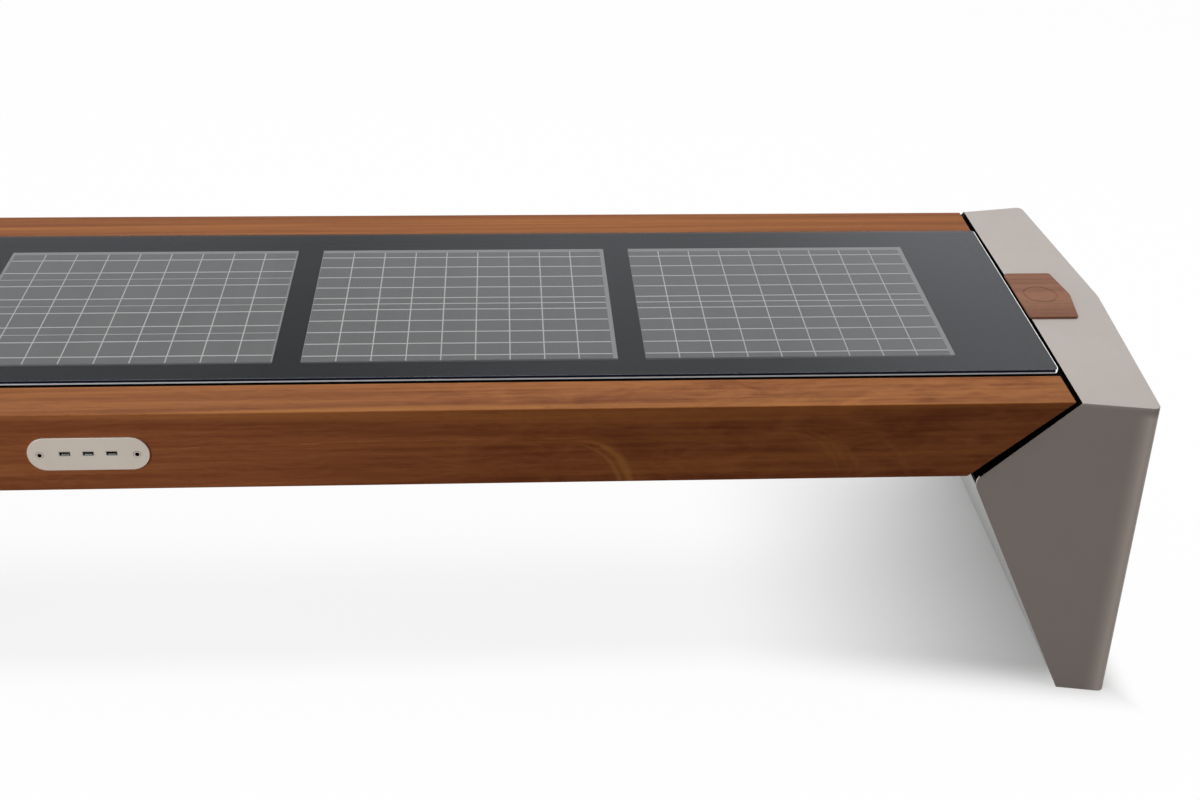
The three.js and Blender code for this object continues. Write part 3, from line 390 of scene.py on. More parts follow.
class Socket:
    """An output of a node. Sums and products of it become Math nodes."""

    def __init__(self, tree: "Tree", output: bpy.types.NodeSocket) -> None:
        """Keep the tree and the output."""
        self.tree = tree
        self.output = output

    def maths(self, operation: str, *values: "Socket | float") -> "Socket":
        """A Math node on some values."""
        return self.tree.node("ShaderNodeMath", {"operation": operation}, dict(enumerate(values)))

    def __add__(self, other: "Socket | float") -> "Socket":
        """The sum."""
        return self.maths("ADD", self, other)

    __radd__ = __add__

    def __sub__(self, other: "Socket | float") -> "Socket":
        """The difference."""
        return self.maths("SUBTRACT", self, other)

    def __rsub__(self, other: float) -> "Socket":
        """The difference from a number."""
        return self.maths("SUBTRACT", other, self)

    def __mul__(self, other: "Socket | float") -> "Socket":
        """The product."""
        return self.maths("MULTIPLY", self, other)

    __rmul__ = __mul__

    def __truediv__(self, other: "Socket | float") -> "Socket":
        """The quotient."""
        return self.maths("DIVIDE", self, other)

    def __rtruediv__(self, other: float) -> "Socket":
        """A number divided by the value."""
        return self.maths("DIVIDE", other, self)

    def __pow__(self, other: "Socket | float") -> "Socket":
        """The power."""
        return self.maths("POWER", self, other)

    def __rpow__(self, other: float) -> "Socket":
        """A number to the power of the value."""
        return self.maths("POWER", other, self)

    def sine(self) -> "Socket":
        """The sine."""
        return self.maths("SINE", self)

    def size(self) -> "Socket":
        """The value without its sign."""
        return self.maths("ABSOLUTE", self)

    def larger(self, other: "Socket | float") -> "Socket":
        """The larger of two values."""
        return self.maths("MAXIMUM", self, other)

    def between(self, low: float, high: float) -> "Socket":
        """A soft step that is 0 below low and 1 above high, or the other way round."""
        limits = {"Value": self, "From Min": low, "From Max": high}
        return self.tree.node("ShaderNodeMapRange", {"interpolation_type": "SMOOTHSTEP"}, limits)


class Tree:
    """The nodes of one material, or of the world."""

    def __init__(self, owner: Material | bpy.types.World) -> None:
        """Keep the owner and clear its nodes.

        Args:
            owner: The material or world.
        """
        owner.use_nodes = True
        self.owner = owner
        self.nodes = owner.node_tree.nodes
        self.links = owner.node_tree.links
        self.nodes.clear()

    @classmethod
    def named(cls, name: str) -> "Tree":
        """The nodes of a new material."""
        return cls(bpy.data.materials.new(name))

    def node(
        self,
        kind: str,
        settings: dict[str, object] | None = None,
        sockets: dict[str | int, object] | None = None,
        output: str | int = 0,
    ) -> Socket:
        """Add a node.

        Args:
            kind: The node's type.
            settings: Its settings.
            sockets: The values or links of its inputs, by name or number.
            output: The output that is wanted.

        Returns:
            That output.
        """
        made = self.nodes.new(kind)
        for name, value in (settings or {}).items():
            setattr(made, name, value)
        for key, value in (sockets or {}).items():
            self._feed(made.inputs[key], value)
        return Socket(self, made.outputs[output])

    def _feed(self, target: bpy.types.NodeSocket, value: object) -> None:
        """Link an input to an output, or give it a value.

        Args:
            target: The input.
            value: The output, or the value.
        """
        if isinstance(value, Socket):
            self.links.new(value.output, target)
        elif target.type == "RGBA":
            target.default_value = (*value, 1.0)
        else:
            target.default_value = value

    def place(self, shift: Point = (0, 0, 0), turn: Point = (0, 0, 0)) -> Socket:
        """The piece's own coordinates, moved and turned."""
        own = self.node("ShaderNodeTexCoord", output="Object")
        return self.node("ShaderNodeMapping", None, {"Vector": own, "Location": shift, "Rotation": turn})

    def axis(self, place: Socket, name: str) -> Socket:
        """One axis of some coordinates."""
        return self.node("ShaderNodeSeparateXYZ", None, {"Vector": place}, name)

    def stretched(self, place: Socket, scale: Point) -> Socket:
        """Some coordinates, multiplied along X, Y and Z."""
        return self.node("ShaderNodeVectorMath", {"operation": "MULTIPLY"}, {0: place, 1: scale})

    def noise(self, place: Socket, noise: Noise) -> Socket:
        """Add a noise.

        Args:
            place: The coordinates that it lies on.
            noise: What it is like.

        Returns:
            Its level.
        """
        return self.node("ShaderNodeTexNoise", None, {
            "Vector": self.stretched(place, noise.scale),
            "Scale": 1.0,
            "Detail": noise.detail,
            "Roughness": noise.roughness,
            "Distortion": noise.distortion,
        })

    def mix(
        self,
        share: Socket | float,
        first: Socket | Colour,
        second: Socket | Colour,
        blend: Blend = Blend.PLAIN,
    ) -> Socket:
        """Mix two colours.

        Args:
            share: The share of the second.
            first: The first colour.
            second: The second colour.
            blend: How they are mixed.

        Returns:
            The mixed colour.
        """
        settings = {"data_type": "RGBA", "blend_type": blend.value}
        return self.node("ShaderNodeMix", settings, {0: share, 6: first, 7: second}, 2)

    def bump(self, height: Socket, depth: float) -> Socket:
        """A normal from a height between 0 and 1 and its depth in metres."""
        return self.node("ShaderNodeBump", None, {"Strength": 1.0, "Distance": depth, "Height": height})

    def seen(self) -> Socket:
        """Tell what the camera sees, straight, mirrored or through glass, from what only lights.

        Returns:
            1 for what it sees, and 0 for light.
        """
        rays = ("Is Camera Ray", "Is Glossy Ray", "Is Transmission Ray")
        straight, mirrored, through = (self.node("ShaderNodeLightPath", output=ray) for ray in rays)
        return straight + mirrored + through

    def backfacing(self) -> Socket:
        """1 on the back of a face, and 0 on its front."""
        return self.node("ShaderNodeNewGeometry", output="Backfacing")

    def clear(self, colour: Colour = WHITE) -> Socket:
        """A shader that lets light through."""
        return self.node("ShaderNodeBsdfTransparent", None, {"Color": colour})

    def either(self, share: Socket, first: Socket, second: Socket) -> Socket:
        """Two shaders mixed by the share of the second."""
        return self.node("ShaderNodeMixShader", None, {0: share, 1: first, 2: second})

    def principled(self, sockets: dict[str, object]) -> Socket:
        """A Principled shader."""
        return self.node("ShaderNodeBsdfPrincipled", None, sockets)

    def finished(self, shader: Socket, kind: str = "ShaderNodeOutputMaterial") -> Material | bpy.types.World:
        """Send a shader to the output.

        Args:
            shader: The shader.
            kind: The output node's type.

        Returns:
            The material or world.
        """
        self.links.new(shader.output, self.nodes.new(kind).inputs["Surface"])
        return self.owner


# Finishes

def scaled(colour: Colour, share: float) -> Colour:
    """A colour made paler or darker by a share, up to white."""
    return tuple(min(1.0, channel * share) for channel in colour)


@dataclass(frozen=True)
class Flame:
    """Pale growth lines that run along a beam's face and then curl down round a burr.

    Attributes:
        start: The X where the lines start to curl.
        height: The height at which they run.
        stretch: How long the curl is for its height.
        width: How wide the lines are.
        first: The X where they come up.
        last: The X where they fade.
        strength: The share of their colour.
        pitch: The distance between several lines, or 0 for one.
        burr_height: The height of the burr.
        sag: How much lower the lines run at the far left.
        sag_limits: Where the sag ends and where it is whole.
        fade: Half the length over which the lines come up and fade.
        drift: How the lines wander.
        drift_reach: How far they wander.
        widths: How the lines' width changes.
        width_limits: The levels at which they are narrow and wide.
        breaks: How the lines break off.
        break_limits: The levels at which they are broken and whole.
        front: Where the beam's front begins.
        colour: The colour of the lines.
    """

    start: float
    height: float
    stretch: float
    width: float
    first: float
    last: float
    strength: float
    pitch: float = 0.0
    burr_height: float = 0.330
    sag: float = 0.016
    sag_limits: Limits = (-0.05, -0.60)
    fade: float = 0.03
    drift: Noise = Noise((4, 13, 13), 4, 0.6, 0.8)
    drift_reach: float = 0.013
    widths: Noise = Noise((11, 26, 26), 3, 0.6)
    width_limits: Limits = (0.35, 0.65)
    breaks: Noise = Noise((14, 30, 30))
    break_limits: Limits = (0.36, 0.56)
    front: Limits = (-0.275, -0.283)
    colour: Colour = (0.60, 0.25, 0.075)

    def over(self, tree: Tree, wood: Socket) -> Socket:
        """Lay the lines over the colour of the wood.

        Args:
            tree: The tree of the wood.
            wood: The colour of the wood.

        Returns:
            The colour with the lines.
        """
        place = tree.place()
        x = tree.axis(place, "X")
        own_place = tree.place((self.start * 9, 0, 0))
        drift = (tree.noise(own_place, self.drift) - NOISE_MEAN) * self.drift_reach
        past = (x - self.start).larger(0) * (1 / self.stretch)
        rise = tree.axis(place, "Z") - self.burr_height + x.between(*self.sag_limits) * self.sag
        off = (past * past + rise * rise) ** 0.5 + drift - (self.height - self.burr_height)
        uneven = tree.noise(place, self.widths).between(*self.width_limits)
        spread = (uneven * 1.3 + 0.4) * self.width * (1 + past.between(0.01, 0.06) * 2.5)
        line = (off.size() / spread).between(1.0, 0.1)
        if self.pitch:
            line = line * (off * (FULL_TURN / self.pitch)).sine().between(0.1, 1.0)
        begun = x.between(self.first - self.fade, self.first + self.fade)
        ended = x.between(self.last + self.fade, self.last - self.fade)
        whole = tree.noise(place, self.breaks).between(*self.break_limits)
        front = tree.axis(place, "Y").between(*self.front)
        return tree.mix(line * (begun * ended) * whole * front * self.strength, wood, self.colour)


@dataclass(frozen=True)
class Hardwood:
    """Oiled hardwood with its grain along X, sawn from a log that is a little askew.

    Attributes:
        name: The material's name.
        pale: The colour of its pale wood.
        dark: The colour of its dark wood.
        golden: The colour of its golden streaks.
        seed: Where in the pattern the piece is cut.
        log_y: The Y of the log's heart.
        log_z: The Z of the log's heart.
        ring: The distance between growth rings.
        wander: How far the rings wander.
        skew: How the log is turned.
        figure: How lively the figure is.
        painted_front_shade: How strong the painted shade is that darkens the front towards the right; 0
            leaves the wood plain.
        flames: Its pale growth lines.
        painted_top_shade: Painted shade: what the wood behind the front is multiplied by, where the front is
            given painted shade.
        painted_shade_tint: What the painted shade multiplies the right end of the front by.
        front_limits: The Y where the front ends and where the top begins.
        painted_shade_limits: The X where the painted shade on the front starts and where it is darkest.
        figure_limits: The X where the blotches start and where they are whole.
        curl: How far the rings curl in plain wood.
        figure_curl: How much further they curl in lively wood.
        levels: How strong the rings, fibres, streaks and broad bands show, and the level of all.
        tone_limits: The levels of the darkest and the palest wood.
        glow_share: How strong the golden streaks are.
        glow_limits: The levels at which they start and are whole.
        pore_colour: The colour of the pores.
        pore_share: How dark the pores are.
        pore_limits: The levels at which they start and are whole.
        depth: The depth of the surface's relief.
    """

    name: str
    pale: Colour
    dark: Colour
    golden: Colour
    seed: float
    figure: float
    log_y: float = 0.10
    ring: float = 0.0085
    log_z: float = -0.13
    wander: float = 0.018
    skew: Point = (0.0, 0.006, -0.010)
    painted_front_shade: float = 0.0
    flames: tuple[Flame, ...] = ()
    painted_top_shade: Colour = (0.72, 0.785, 0.67)
    painted_shade_tint: Colour = (0.655, 0.575, 0.435)
    front_limits: Limits = (-0.2838, -0.2829)
    painted_shade_limits: Limits = (-0.50, 0.30)
    figure_limits: Limits = (-0.15, 0.15)
    curl: float = 0.004
    figure_curl: float = 0.02
    levels: tuple[float, ...] = (0.10, 0.40, 1.15, 0.55, 0.43)
    tone_limits: Limits = (-0.05, 1.05)
    glow_share: float = 0.55
    glow_limits: Limits = (0.48, 0.72)
    pore_colour: Colour = (0.05, 0.014, 0.006)
    pore_share: float = 0.40
    pore_limits: Limits = (0.60, 0.72)
    depth: float = 0.00016

    def material(self) -> Material:
        """Make the material.

        Returns:
            The material.
        """
        tree = Tree.named(self.name)
        place = tree.place((self.seed, 0, 0), self.skew)
        growth = self._growth(tree, place)
        fibre = tree.noise(place, Noise((7, 520, 520), 4, 0.65))
        pores = tree.noise(place, Noise((60, 2200, 2200), 2)).between(*self.pore_limits)
        tone = self._tone(tree, place, growth, fibre)
        colour = tree.mix(tone.between(*self.tone_limits), self.dark, self.pale)
        glow = tree.noise(place, Noise((0.8, 42, 42))).between(*self.glow_limits)
        colour = tree.mix(glow * self.glow_share, colour, self.golden)
        for flame in self.flames:
            colour = flame.over(tree, colour)
        # Painted shade: the front grows darker towards the right, and the wood behind it is darkened and
        # tinted
        if self.painted_front_shade:
            colour = self._painted_shade(tree, colour)
        height = fibre * 0.5 + growth * 0.12 - pores * 0.6
        return tree.finished(tree.principled({
            "Base Color": tree.mix(pores * self.pore_share, colour, self.pore_colour),
            "Roughness": 0.50 + (fibre - NOISE_MEAN) * 0.25 + pores * 0.15,
            "Normal": tree.bump(height, self.depth),
            "Specular IOR Level": 0.10,
        }))

    def _growth(self, tree: Tree, place: Socket) -> Socket:
        """The growth rings, as a wave of the distance from the log's heart.

        Args:
            tree: The tree.
            place: The coordinates in the log.

        Returns:
            Their level, between 0 and 1.
        """
        slow = tree.noise(place, Noise((0.9, 5, 5), 2)) - NOISE_MEAN
        sway = tree.noise(place, Noise((1.5, 8, 8), 2)) - NOISE_MEAN
        swirl = tree.noise(place, Noise((7, 24, 24), 3, 0.5, 1.2)) - NOISE_MEAN
        across = tree.axis(place, "Y") - self.log_y + slow * self.wander
        upward = tree.axis(place, "Z") - self.log_z + sway * self.wander
        radius = (across * across + upward * upward) ** 0.5
        curled = radius + swirl * (self.curl + self.figure * self.figure_curl)
        return (curled * (FULL_TURN / self.ring)).sine() * 0.5 + 0.5

    def _tone(self, tree: Tree, place: Socket, growth: Socket, fibre: Socket) -> Socket:
        """How pale the wood is.

        Args:
            tree: The tree.
            place: The coordinates in the log.
            growth: The growth rings.
            fibre: The fibres.

        Returns:
            The level, about 0 for dark and 1 for pale wood.
        """
        streak = tree.noise(place, Noise((1.3, 95, 95), 3, 0.55)) - NOISE_MEAN
        broad = tree.noise(place, Noise((1.1, 16, 16), 2)) - NOISE_MEAN
        blotch = tree.noise(place, Noise((14, 36, 36), 5, 0.6, 0.8)) - NOISE_MEAN
        rings, fibres, streaks, bands, level = self.levels
        tone = growth * rings + (fibre - NOISE_MEAN) * fibres + streak * streaks + broad * bands + level
        figured = tree.axis(tree.place(), "X").between(*self.figure_limits)
        return tone + blotch * self.figure * figured

    def _painted_shade(self, tree: Tree, colour: Socket) -> Socket:
        """Paint shade on the wood: darken the front towards the right, and darken and tint what lies behind
        it.

        Args:
            tree: The tree.
            colour: The colour of the wood.

        Returns:
            The colour with both.
        """
        behind = tree.axis(tree.place(), "Y").between(*self.front_limits)
        far = tree.axis(tree.place(), "X").between(*self.painted_shade_limits) * (1 - behind)
        colour = tree.mix(behind, colour, self.painted_top_shade, Blend.DARKEN)
        return tree.mix(far * self.painted_front_shade, colour, self.painted_shade_tint, Blend.DARKEN)


@dataclass(frozen=True)
class Steel:
    """Satin steel: blasted, brushed, plated or cast, with faint clouds and a fine grain.

    Attributes:
        name: The material's name.
        base: Its colour.
        metallic: How metallic it is.
        rough: How rough it is.
        grain: How fine its grain is along X, Y and Z.
        depth: The depth of the grain.
        cloud: How strong the clouds are.
        specular: How strong its shine is.
        bend_x: The X of a leg's upright bends, beside which lies a painted highlight; 0 for none.
        lean: How much further out the bends stand for each metre down.
        painted_highlight_limits: How far before the bends the painted highlights start and are whole.
        painted_highlight_top: The heights at which the painted highlights end and are whole.
        painted_highlight_colour: The colour of the painted highlights.
        painted_highlight_share: How pale they are.
        fold_limits: The heights of the fold round the top, below which the painted shade lies.
        painted_side_shade: The painted shade: what the sides below that fold are multiplied by.
    """

    name: str
    base: Colour
    metallic: float
    rough: float
    grain: Point = (2600, 2600, 2600)
    depth: float = 0.00004
    cloud: float = 0.10
    specular: float = 0.5
    bend_x: float = 0.0
    lean: float = 0.0202
    painted_highlight_limits: Limits = (0.036, 0.003)
    painted_highlight_top: Limits = (0.443, 0.430)
    painted_highlight_colour: Colour = (0.84, 0.72, 0.64)
    painted_highlight_share: float = 0.88
    fold_limits: Limits = (0.4442, 0.4405)
    painted_side_shade: Colour = (0.87, 0.81, 0.79)

    def material(self) -> Material:
        """Make the material.

        Returns:
            The material.
        """
        tree = Tree.named(self.name)
        place = tree.place()
        fine = tree.noise(place, Noise(self.grain, 2, 0.6))
        clouds = tree.noise(place, Noise((5, 5, 7), 4, 0.55, 0.4)) - NOISE_MEAN
        smears = tree.noise(place, Noise((38, 38, 16), 3, 0.6)) - NOISE_MEAN
        grit = fine - NOISE_MEAN
        worn = clouds * (2 * self.cloud) + smears * self.cloud + grit * 0.12
        colour = tree.mix((worn + 0.5).between(0, 1), scaled(self.base, 0.75), scaled(self.base, 1.25))
        # Painted shade on the sides and a painted highlight beside the upright bends
        if self.bend_x:
            colour = self._paint_sheet_light(tree, place, colour)
        return tree.finished(tree.principled({
            "Base Color": colour,
            "Metallic": self.metallic,
            "Roughness": self.rough + clouds * 0.12 + grit * 0.15,
            "Specular IOR Level": self.specular,
            "Normal": tree.bump(fine, self.depth),
        }))

    def _paint_sheet_light(self, tree: Tree, place: Socket, colour: Socket) -> Socket:
        """Paint light on the sheet: darken the sides below the top with painted shade, and paint a pale
        highlight where they turn into the upright bends.

        Args:
            tree: The tree.
            place: The coordinates.
            colour: The colour of the sheet.

        Returns:
            The colour with both.
        """
        height = tree.axis(place, "Z")
        colour = tree.mix(height.between(*self.fold_limits), colour, self.painted_side_shade, Blend.DARKEN)
        across = tree.axis(place, "X").size() + height * self.lean
        start, whole = (self.bend_x - reach for reach in self.painted_highlight_limits)
        painted_highlight = across.between(start, whole) * height.between(*self.painted_highlight_top)
        return tree.mix(painted_highlight * painted_highlight * self.painted_highlight_share, colour, self.painted_highlight_colour)


@dataclass(frozen=True)
class Moulded:
    """Paint, plastic or rubber with a fine pebbled skin and a trace of dust.

    Attributes:
        name: The material's name.
        base: Its colour.
        rough: How rough it is.
        pebble: How many pebbles there are in a metre.
        depth: The depth of the pebbles.
        dust: How strong the dust is.
        specular: How strong its shine is.
        dust_limits: The levels at which the dust starts and is whole.
        dust_share: How much paler the dust is than the skin.
        dust_lift: How much it is lifted.
    """

    name: str
    base: Colour
    rough: float
    pebble: float = 900
    depth: float = 0.00006
    dust: float = 0.25
    specular: float = 0.5
    dust_limits: Limits = (0.45, 0.75)
    dust_share: float = 1.5
    dust_lift: float = 0.012

    def material(self) -> Material:
        """Make the material.

        Returns:
            The material.
        """
        tree = Tree.named(self.name)
        place = tree.place()
        pebbles = tree.noise(place, Noise((self.pebble,) * 3, 2))
        film = tree.noise(place, Noise((14, 14, 14), 4, 0.6)).between(*self.dust_limits)
        dusty = tuple(channel * self.dust_share + self.dust_lift for channel in self.base)
        return tree.finished(tree.principled({
            "Base Color": tree.mix(film * self.dust, self.base, dusty),
            "Roughness": self.rough + film * 0.10 + (pebbles - NOISE_MEAN) * 0.10,
            "Specular IOR Level": self.specular,
            "Normal": tree.bump(pebbles, self.depth),
        }))


@dataclass(frozen=True)
class ClearGlass:
    """The faces of the cover glass: see-through, with a mirror image that grows at low angles.

    Attributes:
        name: The material's name.
        index: Its refractive index, which sets how strong the mirror image is.
        mirror: The colour of the mirror image.
        body: The colour of what is seen through it.
        level: How strong the mirror image is anywhere.
        film_level: How much it varies.
        painted_reflection_slopes: A painted reflection: along which axis, between which places and by how
            much the mirror image grows.
    """

    name: str = "clear_glass"
    index: float = 1.47
    mirror: Colour = (0.53, 0.545, 0.575)
    body: Colour = (0.95, 0.957, 0.957)
    level: float = 0.86
    film_level: float = 0.12
    painted_reflection_slopes: tuple[tuple[str, Limits, float], ...] = (
        ("Y", (-0.21, 0.22), 0.14),
        ("X", (0.30, 0.72), 0.60),
        ("X", (-0.25, 0.20), 0.38),
        ("X", (-0.40, -0.20), -0.12),
    )

    def material(self) -> Material:
        """Make the material, which real-time viewers blend with what lies behind it.

        Returns:
            The material.
        """
        tree = Tree.named(self.name)
        place = tree.place()
        gloss = tree.node("ShaderNodeBsdfGlossy", None, {"Color": self.mirror, "Roughness": 0.02})
        facing = tree.node("ShaderNodeFresnel", None, {"IOR": self.index})
        level = self.level + tree.noise(place, Noise((3, 3, 3), 3, 0.6)) * self.film_level
        # Painted reflection: the mirror image is made stronger or weaker by place
        for axis, limits, growth in self.painted_reflection_slopes:
            level = level + tree.axis(place, axis).between(*limits) * growth
        share = facing * level * (1 - tree.backfacing())
        tree.owner.surface_render_method = "BLENDED"
        return tree.finished(tree.either(share, tree.clear(self.body), gloss))


@dataclass(frozen=True)
class GlassEdge:
    """A polished edge of the cover glass, whose outside has a painted highlight: pale colours at some
    heights, which glow.

    Attributes:
        name: The material's name.
        upper: Its colour above the change.
        lower: Its colour below the change.
        change: The heights between which the colour changes.
        glow: How strongly the edge glows with its own colour, a painted highlight.
        within: The colour of what is seen through it from inside the glass.
        ripple: How far the change wanders up and down.
    """

    name: str
    upper: Colour
    lower: Colour
    change: Limits
    glow: float
    within: Colour = (0.85, 0.90, 0.92)
    ripple: float = 0.0004

    def material(self) -> Material:
        """Make the material.

        Returns:
            The material.
        """
        tree = Tree.named(self.name)
        place = tree.place()
        ripple = tree.noise(place, Noise((60, 60, 60), 2))
        height = tree.axis(place, "Z") + (ripple - NOISE_MEAN) * self.ripple
        colour = tree.mix(height.between(*self.change), self.lower, self.upper)
        # Painted highlight: the edge's pale colour also glows, though it is no lamp
        outside = tree.principled({
            "Base Color": colour,
            "Roughness": 0.16 + ripple * 0.08,
            "Emission Color": colour,
            "Emission Strength": self.glow,
            "Specular IOR Level": 0.3,
        })
        return tree.finished(tree.either(tree.backfacing(), outside, tree.clear(self.within)))


@dataclass(frozen=True)
class SolarCell:
    """Grey silicon with fine contact fingers, each cell of a slightly different tone.

    Attributes:
        name: The material's name.
        base: Its colour.
        finger: The distance between two contact fingers.
        finger_colour: Their colour.
        finger_share: How strong they show.
        row: The depth of a row of cells.
    """

    name: str = "solar_cell"
    base: Colour = (0.050, 0.0486, 0.0472)
    finger: float = 0.0019
    finger_colour: Colour = (0.50, 0.51, 0.52)
    finger_share: float = 0.13
    row: float = 0.16

    def material(self) -> Material:
        """Make the material.

        Returns:
            The material.
        """
        tree = Tree.named(self.name)
        place = tree.place()
        number = tree.stretched(place, (1 / COLUMN_PITCH, 1 / self.row, 0))
        cell = tree.node("ShaderNodeVectorMath", {"operation": "FLOOR"}, {0: number})
        tone = tree.node("ShaderNodeTexWhiteNoise", {"noise_dimensions": "3D"}, {"Vector": cell}, "Value")
        finger = (tree.axis(place, "X") * (FULL_TURN / self.finger)).sine().between(0.55, 0.95)
        sheen = tree.noise(place, Noise((9, 6, 1)))
        lit = tone * 0.35 + sheen * 0.5 + 0.05
        silicon = tree.mix(lit, scaled(self.base, 0.80), scaled(self.base, 1.28))
        return tree.finished(tree.principled({
            "Base Color": tree.mix(finger * self.finger_share, silicon, self.finger_colour),
            "Roughness": 0.42 + (sheen - NOISE_MEAN) * 0.1,
            "Normal": tree.bump(finger, 0.00002),
        }))


@dataclass(frozen=True)
class PaperFloor:
    """A pale floor that fades to white away from the bench, with painted light that lightens the bench's
    real shadow except by the right leg, and is clear from below.

    Attributes:
        name: The material's name.
        along: The X where the painted light is strongest and where it ends, under the bench.
        along_power: How the painted light fades between them.
        white: The strongest painted light under the bench.
        back_white: How much stronger it is at the back.
        back: The Y where that starts and is whole.
        ahead: The Y where the floor in front turns white.
        slant: How much further back that lies for each metre to the right.
        slant_start: The X from which it does so.
        beyond: The X where the floor turns white to the right of the bench.
        behind: The Y where it turns white behind the bench.
        open_white: How white the open floor is.
        paper: How much the paper's grain takes from the white.
        real: The floor's colour where it lights the bench.
        shown: Its colour where it is seen in shadow.
    """

    name: str = "floor"
    along: Limits = (0.90, 0.32)
    along_power: float = 0.74
    white: float = 0.88
    back_white: float = 0.09
    back: Limits = (-0.07, 0.12)
    ahead: Limits = (-0.105, -0.205)
    slant: float = 0.17
    slant_start: float = 0.35
    beyond: Limits = (0.84, 0.91)
    behind: Limits = (0.45, 1.2)
    open_white: float = 0.985
    paper: float = 0.01
    real: Colour = (0.22, 0.22, 0.22)
    shown: Colour = (0.93, 0.93, 0.93)

    def material(self) -> Material:
        """Make the material.

        Returns:
            The material.
        """
        tree = Tree.named(self.name)
        place = tree.place()
        x = tree.axis(place, "X")
        y = tree.axis(place, "Y")
        level = self.white + y.between(*self.back) * self.back_white
        # Painted light under the bench: the floor's glow is least by the right leg and grows to the left,
        # lightening the bench's real shadow
        painted_floor_light = x.between(*self.along) ** self.along_power * level
        ahead = (y + x.larger(self.slant_start) * self.slant).between(*self.ahead)
        apart = ahead.larger(x.between(*self.beyond)).larger(y.between(*self.behind))
        grain = tree.noise(place, Noise((400, 400, 400), 2)) * self.paper
        white = painted_floor_light + (self.open_white - painted_floor_light) * apart - grain
        real = tree.node("ShaderNodeBsdfDiffuse", None, {"Color": self.real})
        shown = tree.node("ShaderNodeBsdfDiffuse", None, {"Color": self.shown})
        paint = tree.node("ShaderNodeEmission", None, {"Color": WHITE, "Strength": 1.0})
        above = tree.either(tree.seen(), real, tree.either(white, shown, paint))
        return tree.finished(tree.either(tree.backfacing(), above, tree.clear()))


FLAMES = (
    Flame(0.150, 0.404, 0.55, 0.0011, -0.36, 0.14, 0.55),
    Flame(0.142, 0.403, 0.9, 0.0060, 0.155, 0.257, 0.30, 0.0034),
    Flame(0.145, 0.400, 0.9, 0.0016, 0.155, 0.25, 0.80),
    Flame(0.135, 0.396, 0.9, 0.0009, 0.15, 0.24, 0.60),
    Flame(0.300, 0.415, 0.8, 0.0008, 0.17, 0.28, 0.50),
    Flame(0.390, 0.425, 1.1, 0.0012, 0.36, 0.50, 0.34),
    Flame(0.395, 0.416, 1.0, 0.0018, 0.37, 0.49, 0.26),
    Flame(0.400, 0.407, 0.9, 0.0012, 0.37, 0.48, 0.34),
    Flame(0.440, 0.420, 1.3, 0.0010, 0.45, 0.56, 0.26),
)
NAVY: Colour = (0.002, 0.007, 0.022)
# Pale colours of the glass edges: painted highlights
PAINTED_EDGE_HIGHLIGHT: Colour = (0.78, 0.81, 0.83)
PAINTED_END_HIGHLIGHT: Colour = (0.95, 0.96, 0.96)
RECIPES = {
    "front_wood": Hardwood(
        "front_wood", (0.49, 0.169, 0.060), (0.209, 0.0495, 0.0138), (0.595, 0.225, 0.065),
        seed=3.1, figure=1.45, painted_front_shade=0.9, flames=FLAMES,
    ),
    "rear_wood": Hardwood(
        "rear_wood", (0.350, 0.128, 0.036), (0.150, 0.039, 0.009), (0.43, 0.172, 0.039),
        seed=8.4, figure=0.0, log_y=0.42,
    ),
    "pad_wood": Hardwood(
        "pad_wood", (0.32, 0.156, 0.097), (0.125, 0.048, 0.027), (0.28, 0.116, 0.064),
        seed=5.7, figure=0.0, log_y=0.3, log_z=0.36, ring=0.006,
    ),
    "leg_steel": Steel(
        "leg_steel", (0.45, 0.405, 0.375), 0.04, 0.45, cloud=0.09, specular=0.25, bend_x=0.863,
    ),
    "polished_steel": Steel("polished_steel", (0.47, 0.465, 0.46), 0.95, 0.20, depth=0.00001, cloud=0.03),
    "plate_steel": Steel("plate_steel", (0.56, 0.495, 0.43), 0.70, 0.42, (300, 2600, 2600)),
    "zinc_steel": Steel("zinc_steel", (0.50, 0.51, 0.52), 0.80, 0.38, (1500, 1500, 1500)),
    "frame_steel": Moulded("powder_coat", (0.014, 0.014, 0.015), 0.48, 1400, 0.00008),
    "casting": Steel("cast_housing", (0.46, 0.47, 0.48), 0.60, 0.55, (700, 700, 700), 0.0001),
    "rubber": Moulded("black_rubber", (0.008, 0.008, 0.009), 0.72),
    "black_plastic": Moulded("black_plastic", (0.012, 0.012, 0.013), 0.46, 1600),
    "grey_plastic": Moulded("grey_plastic", (0.085, 0.095, 0.105), 0.45),
    "white_plastic": Moulded("white_plastic", (0.72, 0.72, 0.70), 0.40, dust=0.05),
    "deep_shade": Moulded("deep_shade", (0.0025, 0.0025, 0.003), 0.9, dust=0.0, specular=0.0),
    "contact_gold": Steel("contact_gold", (0.83, 0.60, 0.25), 1.0, 0.28),
    "glass": ClearGlass(),
    "glass_front": GlassEdge("glass_edge", NAVY, PAINTED_EDGE_HIGHLIGHT, (0.4462, 0.4468), 0.12),
    "glass_end": GlassEdge("glass_end", PAINTED_END_HIGHLIGHT, PAINTED_EDGE_HIGHLIGHT, (0.4440, 0.4455), 0.85),
    "cell": SolarCell(),
    "ribbon": Steel("cell_ribbon", (0.46, 0.46, 0.452), 0.15, 0.40, cloud=0.05),
    "sheet": Moulded("backing_sheet", (0.215, 0.215, 0.211), 0.55, dust=0.1),
    "deck_black": Moulded("deck_black", (0.0028, 0.0030, 0.0038), 0.9, 40, 0.00001, 0.02, 0.0),
}


